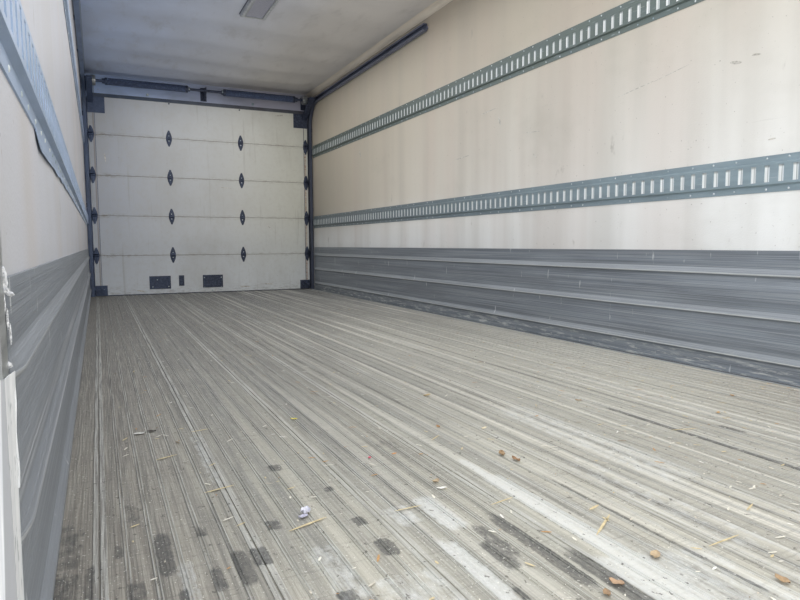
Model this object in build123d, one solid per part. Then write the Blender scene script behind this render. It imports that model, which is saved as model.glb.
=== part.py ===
from build123d import *

import math
import os

# Insulated box body of a refrigerated truck, in millimetres.
# X runs from the curb side (-) to the street side (+), Y from the front (-) to the rear (+), Z up.
# The origin is the centre of the chassis bolt pattern, in the plane that the long sills stand on.

# Overall sizes.
body_length = 7925
inner_width = 2214
inner_height = 2091
wall = 109
roof = 98
roof_crown = 12
rail_proud = 3
rail_lip = 40
corner_radius = 70

# Floor stack, from the ground up.
sill_height = 102
sill_flange = 60
sill_gauge = 8
sill_spacing = 864
chassis_bolt_radius = 8.5
chassis_bolt_spacing = 5000
member_height = 76
member_flange = 45
member_gauge = 5
member_pitch = 305
floor_core = 76
plank_height = 32
plank_pitch = 228.6
rib_pitch = 38.1
rib_height = 2.5
rib_width = 7
joint_width = 22
joint_shift = 98
bottom_rail_gauge = 6
bottom_rail_lip = 60

# Rear frame and the sectional door in it.
frame_depth = 70
post_width = 182
opening_height = 1860
seal_gap = 7
seal_width = 18
panel_thick = 45
panel_height = 381
top_panel_height = 345
panel_count = 5
panel_floor_gap = 6.5
panel_end_gap = 45
panel_bevel = 2
tongue_height = 8
tongue_width = 15
tongue_clearance = 1
bumper_width = 110
bumper_height = 150
bumper_depth = 50
bumper_inset = 130

# Door hardware.
hinge_width = 56
hinge_length = 155
hinge_tip = 14
hinge_shoulder = 36
hinge_gauge = 3.5
hinge_barrel = 12
hinge_column = 349
edge_hinge_inset = 21
track_width = 50
track_depth = 30
track_gauge = 2.5
track_lip = 12
track_standoff = 8
track_radius = 254
track_height = 1984
track_reach = 2687
track_tab_pitch = 620
track_tab_width = 40
stem_offset = 22
stem_radius = 5.5
roller_radius = 20
roller_width = 14
roller_flats = 12
stem_flats = 6
top_bracket_width = 150
top_bracket_height = 148
bottom_bracket_width = 106
bottom_bracket_height = 95
bracket_gauge = 4
shaft_flats = 12
spring_flats = 16
drum_flats = 16
shaft_radius = 12.5
shaft_height = 1999
shaft_offset = 110
spring_radius = 33.5
spring_margin = 102
spring_gap = 190
drum_radius = 46
drum_width = 42
drum_inset = 38
cable_radius = 2
bearing_gauge = 5
bearing_drop = 70
bearing_rise = 60
bearing_nose = 30
bearing_foot = 50
plate_width = 200
plate_height = 128
plate_base = 46
plate_rim = 10
plate_columns = (-479, 31)
latch_width = 50
latch_height = 104
latch_base = 72
latch_column = -276
latch_bars = 3
latch_bar_height = 14
latch_bar_proud = 8

# Linings, lashing tracks and lights of the load space.
scuff_height = 459
scuff_gauge = 3
scuff_rib = 9
scuff_rib_rise = 21
scuff_rib_drop = 11
scuff_rib_nose = 4
scuff_rib_first = 68
scuff_rib_pitch = 152
lining_end_gap = 62
cove = 45
etrack_height = 127
etrack_depth = 12
etrack_gauge = 2.5
etrack_flange = 22
etrack_heights = (726, 1474)
slot_pitch = 50.8
slot_width = 20
slot_height = 58
dome_width = 180
dome_length = 460
dome_depth = 28
dome_border = 30
dome_recess = 12
dome_station = 1502
dome_shift = 22

# Side door, swung back against the curb side.
side_door_setback = 699
side_door_width = 914
side_door_height = 1900
jamb_gauge = 10
jamb_flange = 40
flange_gauge = 3
leaf_thick = 92
leaf_gap = 8
leaf_taper = 14
gasket_gauge = 3
gasket_width = 24
pin_offset = 38
pin_radius = 8
pin_clearance = 0.06
knuckle_radius = 13
knuckle_flats = 10
knuckle_length = 56
knuckle_gap = 0.6
hinge_margin = 210
strap_gauge = 6
strap_width = 50
strap_length = 260
strap_start = 16
butt_start = 45
butt_length = 90
bar_radius = 13
bar_offset = 30
bar_inset = 110
bar_overrun = 32
bar_bracket = 60
bar_flats = 12
bar_bracket_width = 40
bar_bracket_wall = 4
bar_handle_length = 330
bar_handle_width = 36
bar_handle_gauge = 16
bar_stop_width = 30

# Refrigeration unit on the front wall, and the evaporator behind it.
unit_width = 1960
unit_height = 640
unit_depth = 430
unit_gauge = 12
unit_radius = 90
unit_drop = 40
unit_bevel = 26
grille_width = 1500
grille_height = 400
grille_rail = 24
slat_count = 9
slat_depth = 26
slat_gauge = 4
fan_radius = 185
fan_hub = 48
fan_depth = 40
fan_blades = 7
blade_pitch = 32
hub_flats = 12
blade_gauge = 3
fan_clearance = 12
motor_radius = 70
motor_length = 150
axle_radius = 9
axle_clearance = 0.06
evap_width = 1240
evap_height = 270
evap_reach = 320
evap_drop = 40
evap_fan_radius = 105
evap_fan_spacing = 620
evap_recess = 90
evap_bevel = 22
evap_fan_hub = 32
evap_fan_depth = 30
evap_fan_blades = 5
fan_offset = 10
evap_clearance = 1
guard_gauge = 4
guard_rim = 12
guard_flats = 12

# Lamps.
marker_width = 90
marker_height = 32
marker_depth = 16
marker_row_pitch = 150
marker_side_setback = 500
marker_end_setback = 200
marker_corner_inset = 130
tail_radius = 52
tail_flats = 20
tail_base = 180
tail_depth = 14

# Places worked out from the sizes.
half_width = inner_width / 2
outer = half_width + wall
skin = outer + rail_proud
front_y = -body_length / 2
rear_y = body_length / 2
front_in = front_y + wall
frame_y = rear_y - frame_depth
door_y = frame_y - seal_gap - panel_thick
lining_end = door_y - lining_end_gap
member_z = sill_height
core_z = member_z + member_height
plank_z = core_z + floor_core
floor_z = plank_z + plank_height
ceiling_z = floor_z + inner_height
roof_z = ceiling_z + roof
opening_half = skin - post_width
panel_half = half_width - panel_end_gap
panel_base = floor_z + panel_floor_gap
door_top = panel_base + (panel_count - 1) * panel_height + top_panel_height
seams = [panel_base + panel_height * i for i in range(1, panel_count)]
stem_y = door_y - stem_offset
track_back = half_width - track_standoff
curve_z = floor_z + track_height - track_radius
curve_y = stem_y - track_radius
track_end = door_y - track_reach
shaft_y = door_y - shaft_offset
shaft_z = floor_z + shaft_height
side_front = front_in + side_door_setback
side_rear = side_front + side_door_width
side_top = floor_z + side_door_height
pin_x = -(outer + pin_offset)
pin_y = side_rear
unit_top = roof_z - unit_drop
unit_base = unit_top - unit_height
unit_front = front_y - unit_depth
evap_top = ceiling_z - evap_drop
evap_base = evap_top - evap_height
evap_end = front_in + evap_reach


def block(x0, x1, y0, y1, z0, z1):
    """A box between two corners."""
    centre = Pos((x0 + x1) / 2, (y0 + y1) / 2, (z0 + z1) / 2)
    return centre * Box(abs(x1 - x0), abs(y1 - y0), abs(z1 - z0))


def along_x(points, x0, x1):
    """A (Y, Z) outline carried from x0 to x1."""
    plane = Plane(origin=(x0, 0, 0), x_dir=(0, 1, 0), z_dir=(1, 0, 0))
    return extrude(plane * Polygon(*points, align=None), amount=x1 - x0, dir=(1, 0, 0))


def along_y(points, y0, y1):
    """An (X, Z) outline carried from y0 to y1."""
    plane = Plane(origin=(0, y1, 0), x_dir=(1, 0, 0), z_dir=(0, -1, 0))
    return extrude(plane * Polygon(*points, align=None), amount=y1 - y0, dir=(0, -1, 0))


def along_z(points, z0, z1):
    """An (X, Y) outline carried from z0 to z1."""
    face = Pos(0, 0, z0) * Polygon(*points, align=None)
    return extrude(face, amount=z1 - z0, dir=(0, 0, 1))


def rod(radius, start, end):
    """A round bar between two points."""
    start = Vector(*start)
    reach = Vector(*end) - start
    plane = Plane(origin=start, z_dir=reach.normalized())
    return extrude(plane * Circle(radius), amount=reach.length)


def flatted(radius, flats, start, end):
    """A many-sided bar between two points, for small repeated round pieces."""
    start = Vector(*start)
    reach = Vector(*end) - start
    plane = Plane(origin=start, z_dir=reach.normalized())
    return extrude(plane * RegularPolygon(radius, flats), amount=reach.length)


def other_side(shape):
    """The same shape on the other side of the body."""
    return mirror(shape, about=Plane.YZ)


def both_sides(shape):
    """A shape and its mirror image, as separate solids."""
    return Compound([*shape.solids(), *other_side(shape).solids()])


def group(shapes):
    """Solids that share a node without touching."""
    return Compound([solid for shape in shapes for solid in shape.solids()])


def long_sills():
    """Channels that the body stands on, open to the middle, bolted to a chassis."""
    x = sill_spacing / 2
    half = sill_flange / 2
    web = half - sill_gauge
    channel = [
        (x - half, 0),
        (x + half, 0),
        (x + half, sill_height),
        (x - half, sill_height),
        (x - half, sill_height - sill_gauge),
        (x + web, sill_height - sill_gauge),
        (x + web, sill_gauge),
        (x - half, sill_gauge),
    ]
    sill = along_y(channel, front_y + rail_proud, frame_y)
    for y in (-chassis_bolt_spacing / 2, chassis_bolt_spacing / 2):
        sill -= rod(chassis_bolt_radius, (x, y, -1), (x, y, sill_gauge + 1))
    return both_sides(sill)


def cross_members():
    """Channels across the sills, under the floor, at one pitch."""
    first = front_in + member_flange
    last = frame_y - member_flange
    count = int((last - first) / member_pitch) + 1
    start = (first + last - (count - 1) * member_pitch) / 2
    half = member_flange / 2
    top = member_z + member_height
    members = []
    for i in range(count):
        y = start + i * member_pitch
        channel = [
            (y - half, member_z),
            (y + half, member_z),
            (y + half, member_z + member_gauge),
            (y - half + member_gauge, member_z + member_gauge),
            (y - half + member_gauge, top - member_gauge),
            (y + half, top - member_gauge),
            (y + half, top),
            (y - half, top),
        ]
        members.append(along_x(channel, -half_width, half_width))
    return group(members)


def floor_insulation():
    """Insulated slab under the floor planks."""
    return block(-half_width, half_width, front_in, frame_y, core_z, plank_z)


def floor_planks():
    """Extruded planks side by side: flat bands, fine ribs at one pitch and a broad joint at each edge."""
    flat = floor_z - rib_height
    ribs = []
    count = int((half_width + joint_shift) / rib_pitch)
    joint_every = round(plank_pitch / rib_pitch)
    for i in range(-count, count + 1):
        width = joint_width if i % joint_every == 0 else rib_width
        middle = joint_shift + i * rib_pitch
        if abs(middle) + width / 2 < half_width - scuff_rib:
            ribs.append((middle, width))
    outline = [(-half_width, plank_z), (half_width, plank_z), (half_width, flat)]
    for middle, width in reversed(ribs):
        outline += [
            (middle + width / 2, flat),
            (middle + width / 2 - 1, floor_z),
            (middle - width / 2 + 1, floor_z),
            (middle - width / 2, flat),
        ]
    outline.append((-half_width, flat))
    return along_y(outline, front_in, frame_y)


def bottom_rails():
    """Open extrusions that close the ends of the cross members and carry the walls."""
    gauge = bottom_rail_gauge
    outline = [
        (half_width, member_z),
        (half_width + gauge, member_z),
        (half_width + gauge, core_z - gauge),
        (skin - gauge, core_z - gauge),
        (skin - gauge, member_z),
        (skin, member_z),
        (skin, core_z + bottom_rail_lip),
        (outer, core_z + bottom_rail_lip),
        (outer, core_z),
        (half_width, core_z),
    ]
    return both_sides(along_y(outline, front_in, frame_y))


def street_wall():
    """Sandwich panel from the bottom rail to the roof."""
    return block(half_width, outer, front_in, frame_y, core_z, ceiling_z)


def curb_wall():
    """Sandwich panel with the side door's opening."""
    panel = block(-outer, -half_width, front_in, frame_y, core_z, ceiling_z)
    cut = block(
        -outer - 1,
        -half_width + 1,
        side_front - jamb_gauge,
        side_rear + jamb_gauge,
        plank_z,
        side_top + jamb_gauge,
    )
    return panel - cut


def front_wall():
    """Sandwich panel with the hole that the evaporator goes through."""
    panel = block(
        -half_width, half_width, front_y + rail_proud, front_in, core_z, ceiling_z
    )
    hole_half = evap_width / 2 + evap_clearance
    cut = block(
        -hole_half,
        hole_half,
        front_y - 1,
        front_in + 1,
        evap_base - evap_clearance,
        evap_top + evap_clearance,
    )
    return panel - cut


def roof_panel():
    """Sandwich panel with a slightly crowned top."""
    half = half_width
    top = ThreePointArc((half, roof_z), (0, roof_z + roof_crown), (-half, roof_z))
    sides = Polyline((-half, roof_z), (-half, ceiling_z), (half, ceiling_z), (half, roof_z))
    plane = Plane(origin=(0, frame_y, 0), x_dir=(1, 0, 0), z_dir=(0, -1, 0))
    return extrude(plane * make_face(top + sides), amount=frame_y - front_in, dir=(0, -1, 0))


def rounded(corner, run, rise, radius):
    """An outline's round outer corner between two legs, as an arc through its middle."""
    x, z = corner
    bow = radius * (1 - math.sqrt(0.5))
    first = (x, z - rise * radius)
    middle = (x - run * bow, z - rise * bow)
    last = (x - run * radius, z)
    return ThreePointArc(first, middle, last)


def top_rails():
    """Extrusions with a round shoulder over each side wall, lapping its skin."""
    arc = rounded((skin, roof_z), 1, 1, corner_radius)
    sides = Polyline(
        (skin - corner_radius, roof_z),
        (half_width, roof_z),
        (half_width, ceiling_z),
        (outer, ceiling_z),
        (outer, ceiling_z - rail_lip),
        (skin, ceiling_z - rail_lip),
        (skin, roof_z - corner_radius),
    )
    plane = Plane(origin=(0, frame_y, 0), x_dir=(1, 0, 0), z_dir=(0, -1, 0))
    rail = extrude(plane * make_face(arc + sides), amount=frame_y - front_in, dir=(0, -1, 0))
    return both_sides(rail)


def front_top_rail():
    """The same round shoulder over the front wall."""
    arc = rounded((front_y, roof_z), -1, 1, corner_radius)
    sides = Polyline(
        (front_y + corner_radius, roof_z),
        (front_in, roof_z),
        (front_in, ceiling_z),
        (front_y + rail_proud, ceiling_z),
        (front_y + rail_proud, ceiling_z - rail_lip),
        (front_y, ceiling_z - rail_lip),
        (front_y, roof_z - corner_radius),
    )
    plane = Plane(origin=(-half_width, 0, 0), x_dir=(0, 1, 0), z_dir=(1, 0, 0))
    return extrude(plane * make_face(arc + sides), amount=inner_width, dir=(1, 0, 0))


def front_corner_posts():
    """Upright corner extrusions with a round outer edge."""
    arc = rounded((skin, front_y), 1, -1, corner_radius)
    sides = Polyline(
        (skin - corner_radius, front_y),
        (half_width, front_y),
        (half_width, front_in),
        (skin, front_in),
        (skin, front_y + corner_radius),
    )
    face = Pos(0, 0, member_z) * make_face(arc + sides)
    return both_sides(extrude(face, amount=ceiling_z - member_z, dir=(0, 0, 1)))


def front_corner_caps():
    """Cast caps where the posts meet the top rails, round on all three outer edges."""
    cap = block(half_width, skin, front_y, front_in, ceiling_z, roof_z)
    upright = cap.edges().filter_by(Axis.Z).group_by(Axis.Y)[0].sort_by(Axis.X)[-1]
    front = cap.edges().filter_by(Axis.X).group_by(Axis.Z)[-1].sort_by(Axis.Y)[0]
    side = cap.edges().filter_by(Axis.Y).group_by(Axis.Z)[-1].sort_by(Axis.X)[-1]
    return both_sides(fillet([upright, front, side], corner_radius))


def front_sill():
    """Beam across the front, under the front wall."""
    return block(-half_width, half_width, front_y + rail_proud, front_in, member_z, core_z)


def rear_frame():
    """Welded posts, header and sill round the rear opening."""
    frame = block(-skin, skin, frame_y, rear_y, member_z, roof_z + roof_crown)
    frame -= block(
        -opening_half,
        opening_half,
        frame_y - 1,
        rear_y + 1,
        floor_z,
        floor_z + opening_height,
    )
    edges = frame.edges().filter_by(Axis.Y).group_by(Axis.Z)[-1]
    return fillet(edges, corner_radius)


def dock_bumpers():
    """Rubber blocks on the rear sill."""
    x = skin - bumper_inset
    top = floor_z - (floor_z - member_z - bumper_height) / 2
    bumper = block(x - bumper_width, x, rear_y, rear_y + bumper_depth, top - bumper_height, top)
    edges = bumper.edges().filter_by(Axis.X).group_by(Axis.Y)[-1]
    return both_sides(chamfer(edges, bumper_depth / 3))


def scuff_outline():
    """Ribbed aluminium sheet on the lower wall, as (distance from the wall, height) points."""
    outline = [(0, 0), (scuff_gauge, 0)]
    proud = scuff_gauge + scuff_rib
    nose = scuff_rib_nose / 2
    count = int((scuff_height - scuff_rib_first) / scuff_rib_pitch) + 1
    for i in range(count):
        z = scuff_rib_first + i * scuff_rib_pitch
        outline += [
            (scuff_gauge, z - scuff_rib_drop),
            (proud, z - nose),
            (proud, z + nose),
            (scuff_gauge, z + scuff_rib_rise),
        ]
    outline += [(scuff_gauge, scuff_height), (0, scuff_height)]
    return outline


def scuff_liner(side, y0, y1):
    """One side's scuff liner; side is +1 for the street side."""
    points = [(side * (half_width - d), floor_z + z) for d, z in scuff_outline()]
    return along_y(points, y0, y1)


def scuff_liners():
    """The street side's run, and the curb side's two runs, one each side of the side doorway."""
    front_end = side_front - jamb_flange
    runs = ((1, front_in, lining_end), (-1, curb_start, lining_end), (-1, front_in, front_end))
    return group([scuff_liner(side, y0, y1) for side, y0, y1 in runs])


def etrack(side, height, y0, y1):
    """A lashing rail: a raised sheet channel with flanges and a row of upright slots."""
    half = etrack_height / 2
    shoulder = half - etrack_flange
    gauge = etrack_gauge
    depth = etrack_depth
    hat = [
        (0, -half),
        (gauge, -half),
        (gauge, -shoulder),
        (depth, -shoulder + 5),
        (depth, shoulder - 5),
        (gauge, shoulder),
        (gauge, half),
        (0, half),
        (0, shoulder - gauge),
        (depth - gauge, shoulder - 5 - gauge),
        (depth - gauge, -shoulder + 5 + gauge),
        (0, -shoulder + gauge),
    ]
    middle = floor_z + height
    points = [(side * (half_width - d), middle + z) for d, z in hat]
    rail = along_y(points, y0, y1)
    count = int((y1 - y0 - slot_pitch) / slot_pitch) + 1
    start = (y0 + y1 - (count - 1) * slot_pitch) / 2
    near = side * (half_width - depth - 1)
    far = side * (half_width - depth + gauge + 1)
    slots = []
    for i in range(count):
        y = start + i * slot_pitch
        low = middle - slot_height / 2
        slots.append(
            block(near, far, y - slot_width / 2, y + slot_width / 2, low, low + slot_height)
        )
    return rail - slots


def cove_mouldings():
    """Slanted trim between the ceiling and each side wall."""
    outline = [
        (half_width, ceiling_z - cove),
        (half_width, ceiling_z),
        (half_width - cove, ceiling_z),
    ]
    return both_sides(along_y(outline, front_in, frame_y))


def dome_lights():
    """Ceiling lights: shallow trays whose mouths look down."""
    lights = []
    for y in (-dome_station, dome_station):
        tray = block(
            dome_shift - dome_width / 2,
            dome_shift + dome_width / 2,
            y - dome_length / 2,
            y + dome_length / 2,
            ceiling_z - dome_depth,
            ceiling_z,
        )
        rim = tray.faces().sort_by(Axis.Z)[0].edges()
        tray = chamfer(rim, dome_recess * 0.75)
        tray -= block(
            dome_shift - dome_width / 2 + dome_border,
            dome_shift + dome_width / 2 - dome_border,
            y - dome_length / 2 + dome_border,
            y + dome_length / 2 - dome_border,
            ceiling_z - dome_depth - 1,
            ceiling_z - dome_depth + dome_recess,
        )
        lights.append(tray)
    return group(lights)


def dome_lenses():
    """Plastic lenses in the bottom of each tray."""
    lenses = []
    for y in (-dome_station, dome_station):
        lenses.append(
            block(
                dome_shift - dome_width / 2 + dome_border,
                dome_shift + dome_width / 2 - dome_border,
                y - dome_length / 2 + dome_border,
                y + dome_length / 2 - dome_border,
                ceiling_z - dome_depth + dome_recess / 3,
                ceiling_z - dome_depth + dome_recess,
            )
        )
    return group(lenses)


def door_panel(index):
    """One section of the rear door, with a tongue on top and a groove below."""
    low = panel_base + index * panel_height
    is_top = index == panel_count - 1
    high = low + (top_panel_height if is_top else panel_height)
    inner = door_y
    back = door_y + panel_thick
    mid = (inner + back) / 2
    half = tongue_width / 2
    slack = tongue_clearance
    bevel = panel_bevel
    outline = [(inner, low + bevel), (inner + bevel, low)]
    if index > 0:
        outline += [
            (mid - half - slack, low),
            (mid - half - slack, low + tongue_height + slack),
            (mid + half + slack, low + tongue_height + slack),
            (mid + half + slack, low),
        ]
    outline += [(back, low), (back, high)]
    if not is_top:
        outline += [
            (mid + half, high),
            (mid + half, high + tongue_height),
            (mid - half, high + tongue_height),
            (mid - half, high),
        ]
    outline += [(inner + bevel, high), (inner, high - bevel)]
    return along_x(outline, -panel_half, panel_half)


def leaf_plate(x, z):
    """A spindle-shaped hinge plate on the door's inner face, with its barrel on the seam."""
    half = hinge_width / 2
    tip = hinge_tip / 2
    end = hinge_length / 2
    shoulder = hinge_shoulder / 2
    outline = [
        (x - tip, z - end),
        (x + tip, z - end),
        (x + half, z - shoulder),
        (x + half, z + shoulder),
        (x + tip, z + end),
        (x - tip, z + end),
        (x - half, z + shoulder),
        (x - half, z - shoulder),
    ]
    plate = along_y(outline, door_y - hinge_gauge, door_y)
    r = hinge_barrel / 2
    y = door_y - hinge_gauge - r / 2
    barrel = flatted(r, 6, (x - half + 2, y, z), (x + half - 2, y, z))
    return plate + barrel


def door_hinges():
    """Two columns of middle hinges, one pair at each seam."""
    return group([leaf_plate(s * hinge_column, z) for z in seams for s in (-1, 1)])


def roller_hinges():
    """Edge hinges at each seam, with a socket that holds the roller's stem."""
    hinges = []
    for z in seams:
        x = panel_half - edge_hinge_inset
        hinge = leaf_plate(x, z)
        socket_r = stem_radius + 4
        socket = [
            (door_y - hinge_gauge, z + hinge_barrel / 2),
            (door_y - hinge_gauge, z + hinge_barrel + socket_r * 2),
            (stem_y - socket_r, z + hinge_barrel + socket_r * 2),
            (stem_y - socket_r, z + hinge_barrel),
        ]
        holder = along_x(socket, x - hinge_width / 3, x + hinge_width / 3)
        hinges.append(hinge + holder)
    return both_sides(group(hinges))


def roller_places():
    """Stem centres in (Y, Z): one at each seam, one at the door's foot, one in the top track."""
    places = [(stem_y, z + hinge_barrel + stem_radius + 4) for z in seams]
    places.append((stem_y, panel_base + bottom_bracket_height / 2))
    places.append((curve_y, curve_z + track_radius))
    return places


def rollers():
    """Wheels in the tracks, on stems that reach back to their hinges and brackets."""
    pieces = []
    wheel_x = track_back - (track_depth + track_gauge) / 2
    inner_x = panel_half - edge_hinge_inset + hinge_width / 3
    reach = roller_width / 2
    for y, z in roller_places():
        wheel = flatted(roller_radius, roller_flats, (wheel_x - reach, y, z), (wheel_x + reach, y, z))
        stem = flatted(stem_radius, stem_flats, (inner_x, y, z), (wheel_x - reach, y, z))
        pieces.append(wheel + stem)
    return both_sides(group(pieces))


def bottom_brackets():
    """Corner brackets at the door's foot, with the lower roller's socket and the cable's lug."""
    x1 = panel_half
    x0 = x1 - bottom_bracket_width
    z0 = panel_base
    z1 = z0 + bottom_bracket_height
    plate = block(x0, x1, door_y - bracket_gauge, door_y, z0, z1)
    socket_r = stem_radius + 4
    mid = z0 + bottom_bracket_height / 2
    end = panel_half - edge_hinge_inset + hinge_width / 3
    socket = block(
        x0 + 20, end, stem_y - socket_r, door_y - bracket_gauge, mid - socket_r, mid + socket_r
    )
    return both_sides(plate + socket)


def top_brackets():
    """Bent arms on the top section's corners that carry the top rollers in the level track."""
    x1 = panel_half
    x0 = x1 - top_bracket_width
    base = door_top - top_bracket_height
    plate = block(x0, x1, door_y - bracket_gauge, door_y, base, door_top)
    roller_y, roller_z = roller_places()[-1]
    end = panel_half - edge_hinge_inset + hinge_width / 3
    start = end - top_bracket_width / 3
    arm = along_x(
        [
            (door_y - bracket_gauge, door_top - 60),
            (door_y - bracket_gauge, door_top - 20),
            (roller_y + 12, roller_z + 14),
            (roller_y - 14, roller_z + 14),
            (roller_y - 14, roller_z - 14),
            (roller_y + 6, roller_z - 14),
        ],
        start,
        end,
    )
    return both_sides(plate + arm)


def track_section(side):
    """The track's C section: (X, offset across the track) points, mouth towards the door."""
    half = track_width / 2
    lip = half - track_lip
    g = track_gauge
    d = track_depth
    points = [
        (0, -half),
        (d, -half),
        (d, -lip),
        (d - g, -lip),
        (d - g, -half + g),
        (g, -half + g),
        (g, half - g),
        (d - g, half - g),
        (d - g, lip),
        (d, lip),
        (d, half),
        (0, half),
    ]
    return [(side * (track_back - u), v) for u, v in points]


def door_track(side):
    """Upright track, its bend and the level track under the ceiling, on tabs off the wall."""
    section = track_section(side)
    upright = along_z([(x, stem_y + v) for x, v in section], floor_z, curve_z)
    level_z = curve_z + track_radius
    level = along_y([(x, level_z + v) for x, v in section], track_end, curve_y)
    face = Pos(0, 0, curve_z) * Polygon(*[(x, stem_y + v) for x, v in section], align=None)
    bend = revolve(face, Axis((0, curve_y, curve_z), (1, 0, 0)), revolution_arc=90)
    track = upright + bend + level
    near = side * track_back
    far = side * half_width
    half = track_tab_width / 2
    steps = int((curve_z - floor_z) / track_tab_pitch)
    for i in range(steps + 1):
        z = floor_z + half + i * (curve_z - floor_z - track_tab_width) / steps
        track += block(near, far, stem_y - half / 2, stem_y + half / 2, z - half, z + half)
    steps = int((curve_y - track_end) / track_tab_pitch)
    for i in range(steps + 1):
        y = track_end + half + i * (curve_y - track_end - track_tab_width) / steps
        track += block(near, far, y - half, y + half, level_z - half / 2, level_z + half / 2)
    return track


def counterbalance_shaft():
    """Tube across the header that the drums and springs ride on."""
    x = panel_half - bearing_gauge
    return flatted(shaft_radius, shaft_flats, (-x, shaft_y, shaft_z), (x, shaft_y, shaft_z))


def ring_along_x(radius, flats, x0, x1):
    """A collar on the shaft."""
    collar = flatted(radius, flats, (x0, shaft_y, shaft_z), (x1, shaft_y, shaft_z))
    return collar - flatted(shaft_radius, shaft_flats, (x0 - 1, shaft_y, shaft_z), (x1 + 1, shaft_y, shaft_z))


def torsion_springs():
    """Wound springs either side of the middle bearing, each drawn as its outer sleeve."""
    x1 = panel_half - drum_inset - drum_width - spring_margin
    return both_sides(ring_along_x(spring_radius, spring_flats, spring_gap, x1))


def cable_drums():
    """Drums that the lift cables wind on."""
    x1 = panel_half - drum_inset
    return both_sides(ring_along_x(drum_radius, drum_flats, x1 - drum_width, x1))


def lift_cables():
    """Taut wires from each drum down to a lug on the bottom bracket."""
    x = panel_half - drum_inset - drum_width / 2
    r = cable_radius
    y = shaft_y + drum_radius + r
    foot = panel_base + bottom_bracket_height - 20
    wire = block(x - r, x + r, y - r, y + r, foot, shaft_z)
    lug = block(x - 3 * r, x + 3 * r, y - 3 * r, door_y - bracket_gauge, foot - 8 * r, foot)
    return both_sides(wire + lug)


def shaft_brackets():
    """End plates that the shaft runs between, and the middle bearing, all on the header."""
    pieces = []
    half = bearing_gauge / 2
    end = panel_half - half
    side = [
        (frame_y, shaft_z - bearing_drop),
        (frame_y, shaft_z + bearing_rise),
        (shaft_y - bearing_nose, shaft_z + bearing_nose),
        (shaft_y - bearing_nose, shaft_z - bearing_nose),
    ]
    # Columns: middle of the plate, reach of its foot towards the curb, and towards the street.
    feet = (
        (-end, half, bearing_foot),
        (0, bearing_nose, bearing_nose),
        (end, bearing_foot, half),
    )
    for middle, foot_curb, foot_street in feet:
        x0 = middle - half
        x1 = middle + half
        plate = along_x(side, x0, x1)
        if middle == 0:
            plate -= flatted(shaft_radius, shaft_flats, (x0 - 1, shaft_y, shaft_z), (x1 + 1, shaft_y, shaft_z))
        foot = block(
            middle - foot_curb,
            middle + foot_street,
            frame_y - bracket_gauge,
            frame_y,
            shaft_z - bearing_drop,
            shaft_z + bearing_rise,
        )
        pieces.append(plate + foot)
    return group(pieces)


def door_seals():
    """Rubber strips between the sections and the rear frame, and under the door."""
    y0 = door_y + panel_thick
    x0 = opening_half
    x1 = opening_half + seal_width
    z1 = floor_z + opening_height
    top = z1 + seal_width
    ring = block(-x1, x1, y0, frame_y, floor_z, top)
    ring -= block(-x0, x0, y0 - 1, frame_y + 1, floor_z - 1, z1)
    foot = block(-panel_half, panel_half, door_y + 5, door_y + panel_thick, floor_z, panel_base)
    return group([ring, foot])


def grip_plates():
    """Two shallow dished plates low on the bottom section."""
    plates = []
    face = door_y - bracket_gauge
    rim = plate_rim
    z0 = panel_base + plate_base
    z1 = z0 + plate_height
    for middle in plate_columns:
        x0 = middle - plate_width / 2
        x1 = middle + plate_width / 2
        plate = block(x0, x1, face, door_y, z0, z1)
        dish = block(x0 + rim, x1 - rim, face - 1, door_y - bracket_gauge / 3, z0 + rim, z1 - rim)
        plates.append(plate - dish)
    return group(plates)


def door_latch():
    """Slide latch between the plates, with its bars across it."""
    half = latch_width / 2
    face = door_y - bracket_gauge
    z0 = panel_base + latch_base
    latch = block(latch_column - half, latch_column + half, face, door_y, z0, z0 + latch_height)
    for i in range(latch_bars):
        z = z0 + latch_height * (i + 0.5) / latch_bars
        rise = latch_bar_height / 2
        latch += block(
            latch_column - half + 6,
            latch_column + half - 6,
            face - latch_bar_proud,
            face,
            z - rise,
            z + rise,
        )
    return latch


def side_door_frame():
    """Aluminium lining of the side opening, with flanges on both faces of the wall."""
    low = plank_z
    high = side_top + jamb_gauge
    lining = block(-outer, -half_width, side_front - jamb_gauge, side_rear + jamb_gauge, low, high)
    inner = block(
        -half_width,
        -half_width + flange_gauge,
        side_front - jamb_flange,
        side_rear + jamb_flange,
        floor_z,
        side_top + jamb_flange,
    )
    face = block(
        -outer - flange_gauge,
        -outer,
        side_front - jamb_flange,
        side_rear + jamb_flange,
        low,
        side_top + jamb_flange,
    )
    clear = block(
        -outer - flange_gauge - 1,
        -half_width + flange_gauge + 1,
        side_front,
        side_rear,
        floor_z,
        side_top,
    )
    return lining + inner + face - clear


def swung_open(shape):
    """Turns a piece drawn with the side door closed to where it is parked, half a turn open."""
    pivot = Pos(pin_x, pin_y, 0)
    return pivot * Rot(0, 0, -180) * pivot.inverse() * shape


def side_door_leaf():
    """Insulated leaf that plugs the opening, tapered so that it swings clear."""
    x0 = -outer
    x1 = -outer + leaf_thick
    y0 = side_front + leaf_gap
    y1 = side_rear - leaf_gap
    outline = [(x0, y0), (x1, y0 + leaf_taper), (x1, y1 - leaf_taper / 2), (x0, y1)]
    leaf = along_z(outline, floor_z + leaf_gap, side_top - leaf_gap)
    return swung_open(leaf)


def side_door_gasket():
    """Rubber bead round the leaf's inner face."""
    x0 = -outer + leaf_thick
    x1 = x0 + gasket_gauge
    y0 = side_front + leaf_gap + leaf_taper
    y1 = side_rear - leaf_gap - leaf_taper / 2
    z0 = floor_z + leaf_gap
    z1 = side_top - leaf_gap
    w = gasket_width
    ring = block(x0, x1, y0, y1, z0, z1)
    ring -= block(x0 - 1, x1 + 1, y0 + w, y1 - w, z0 + w, z1 - w)
    return swung_open(ring)


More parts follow.
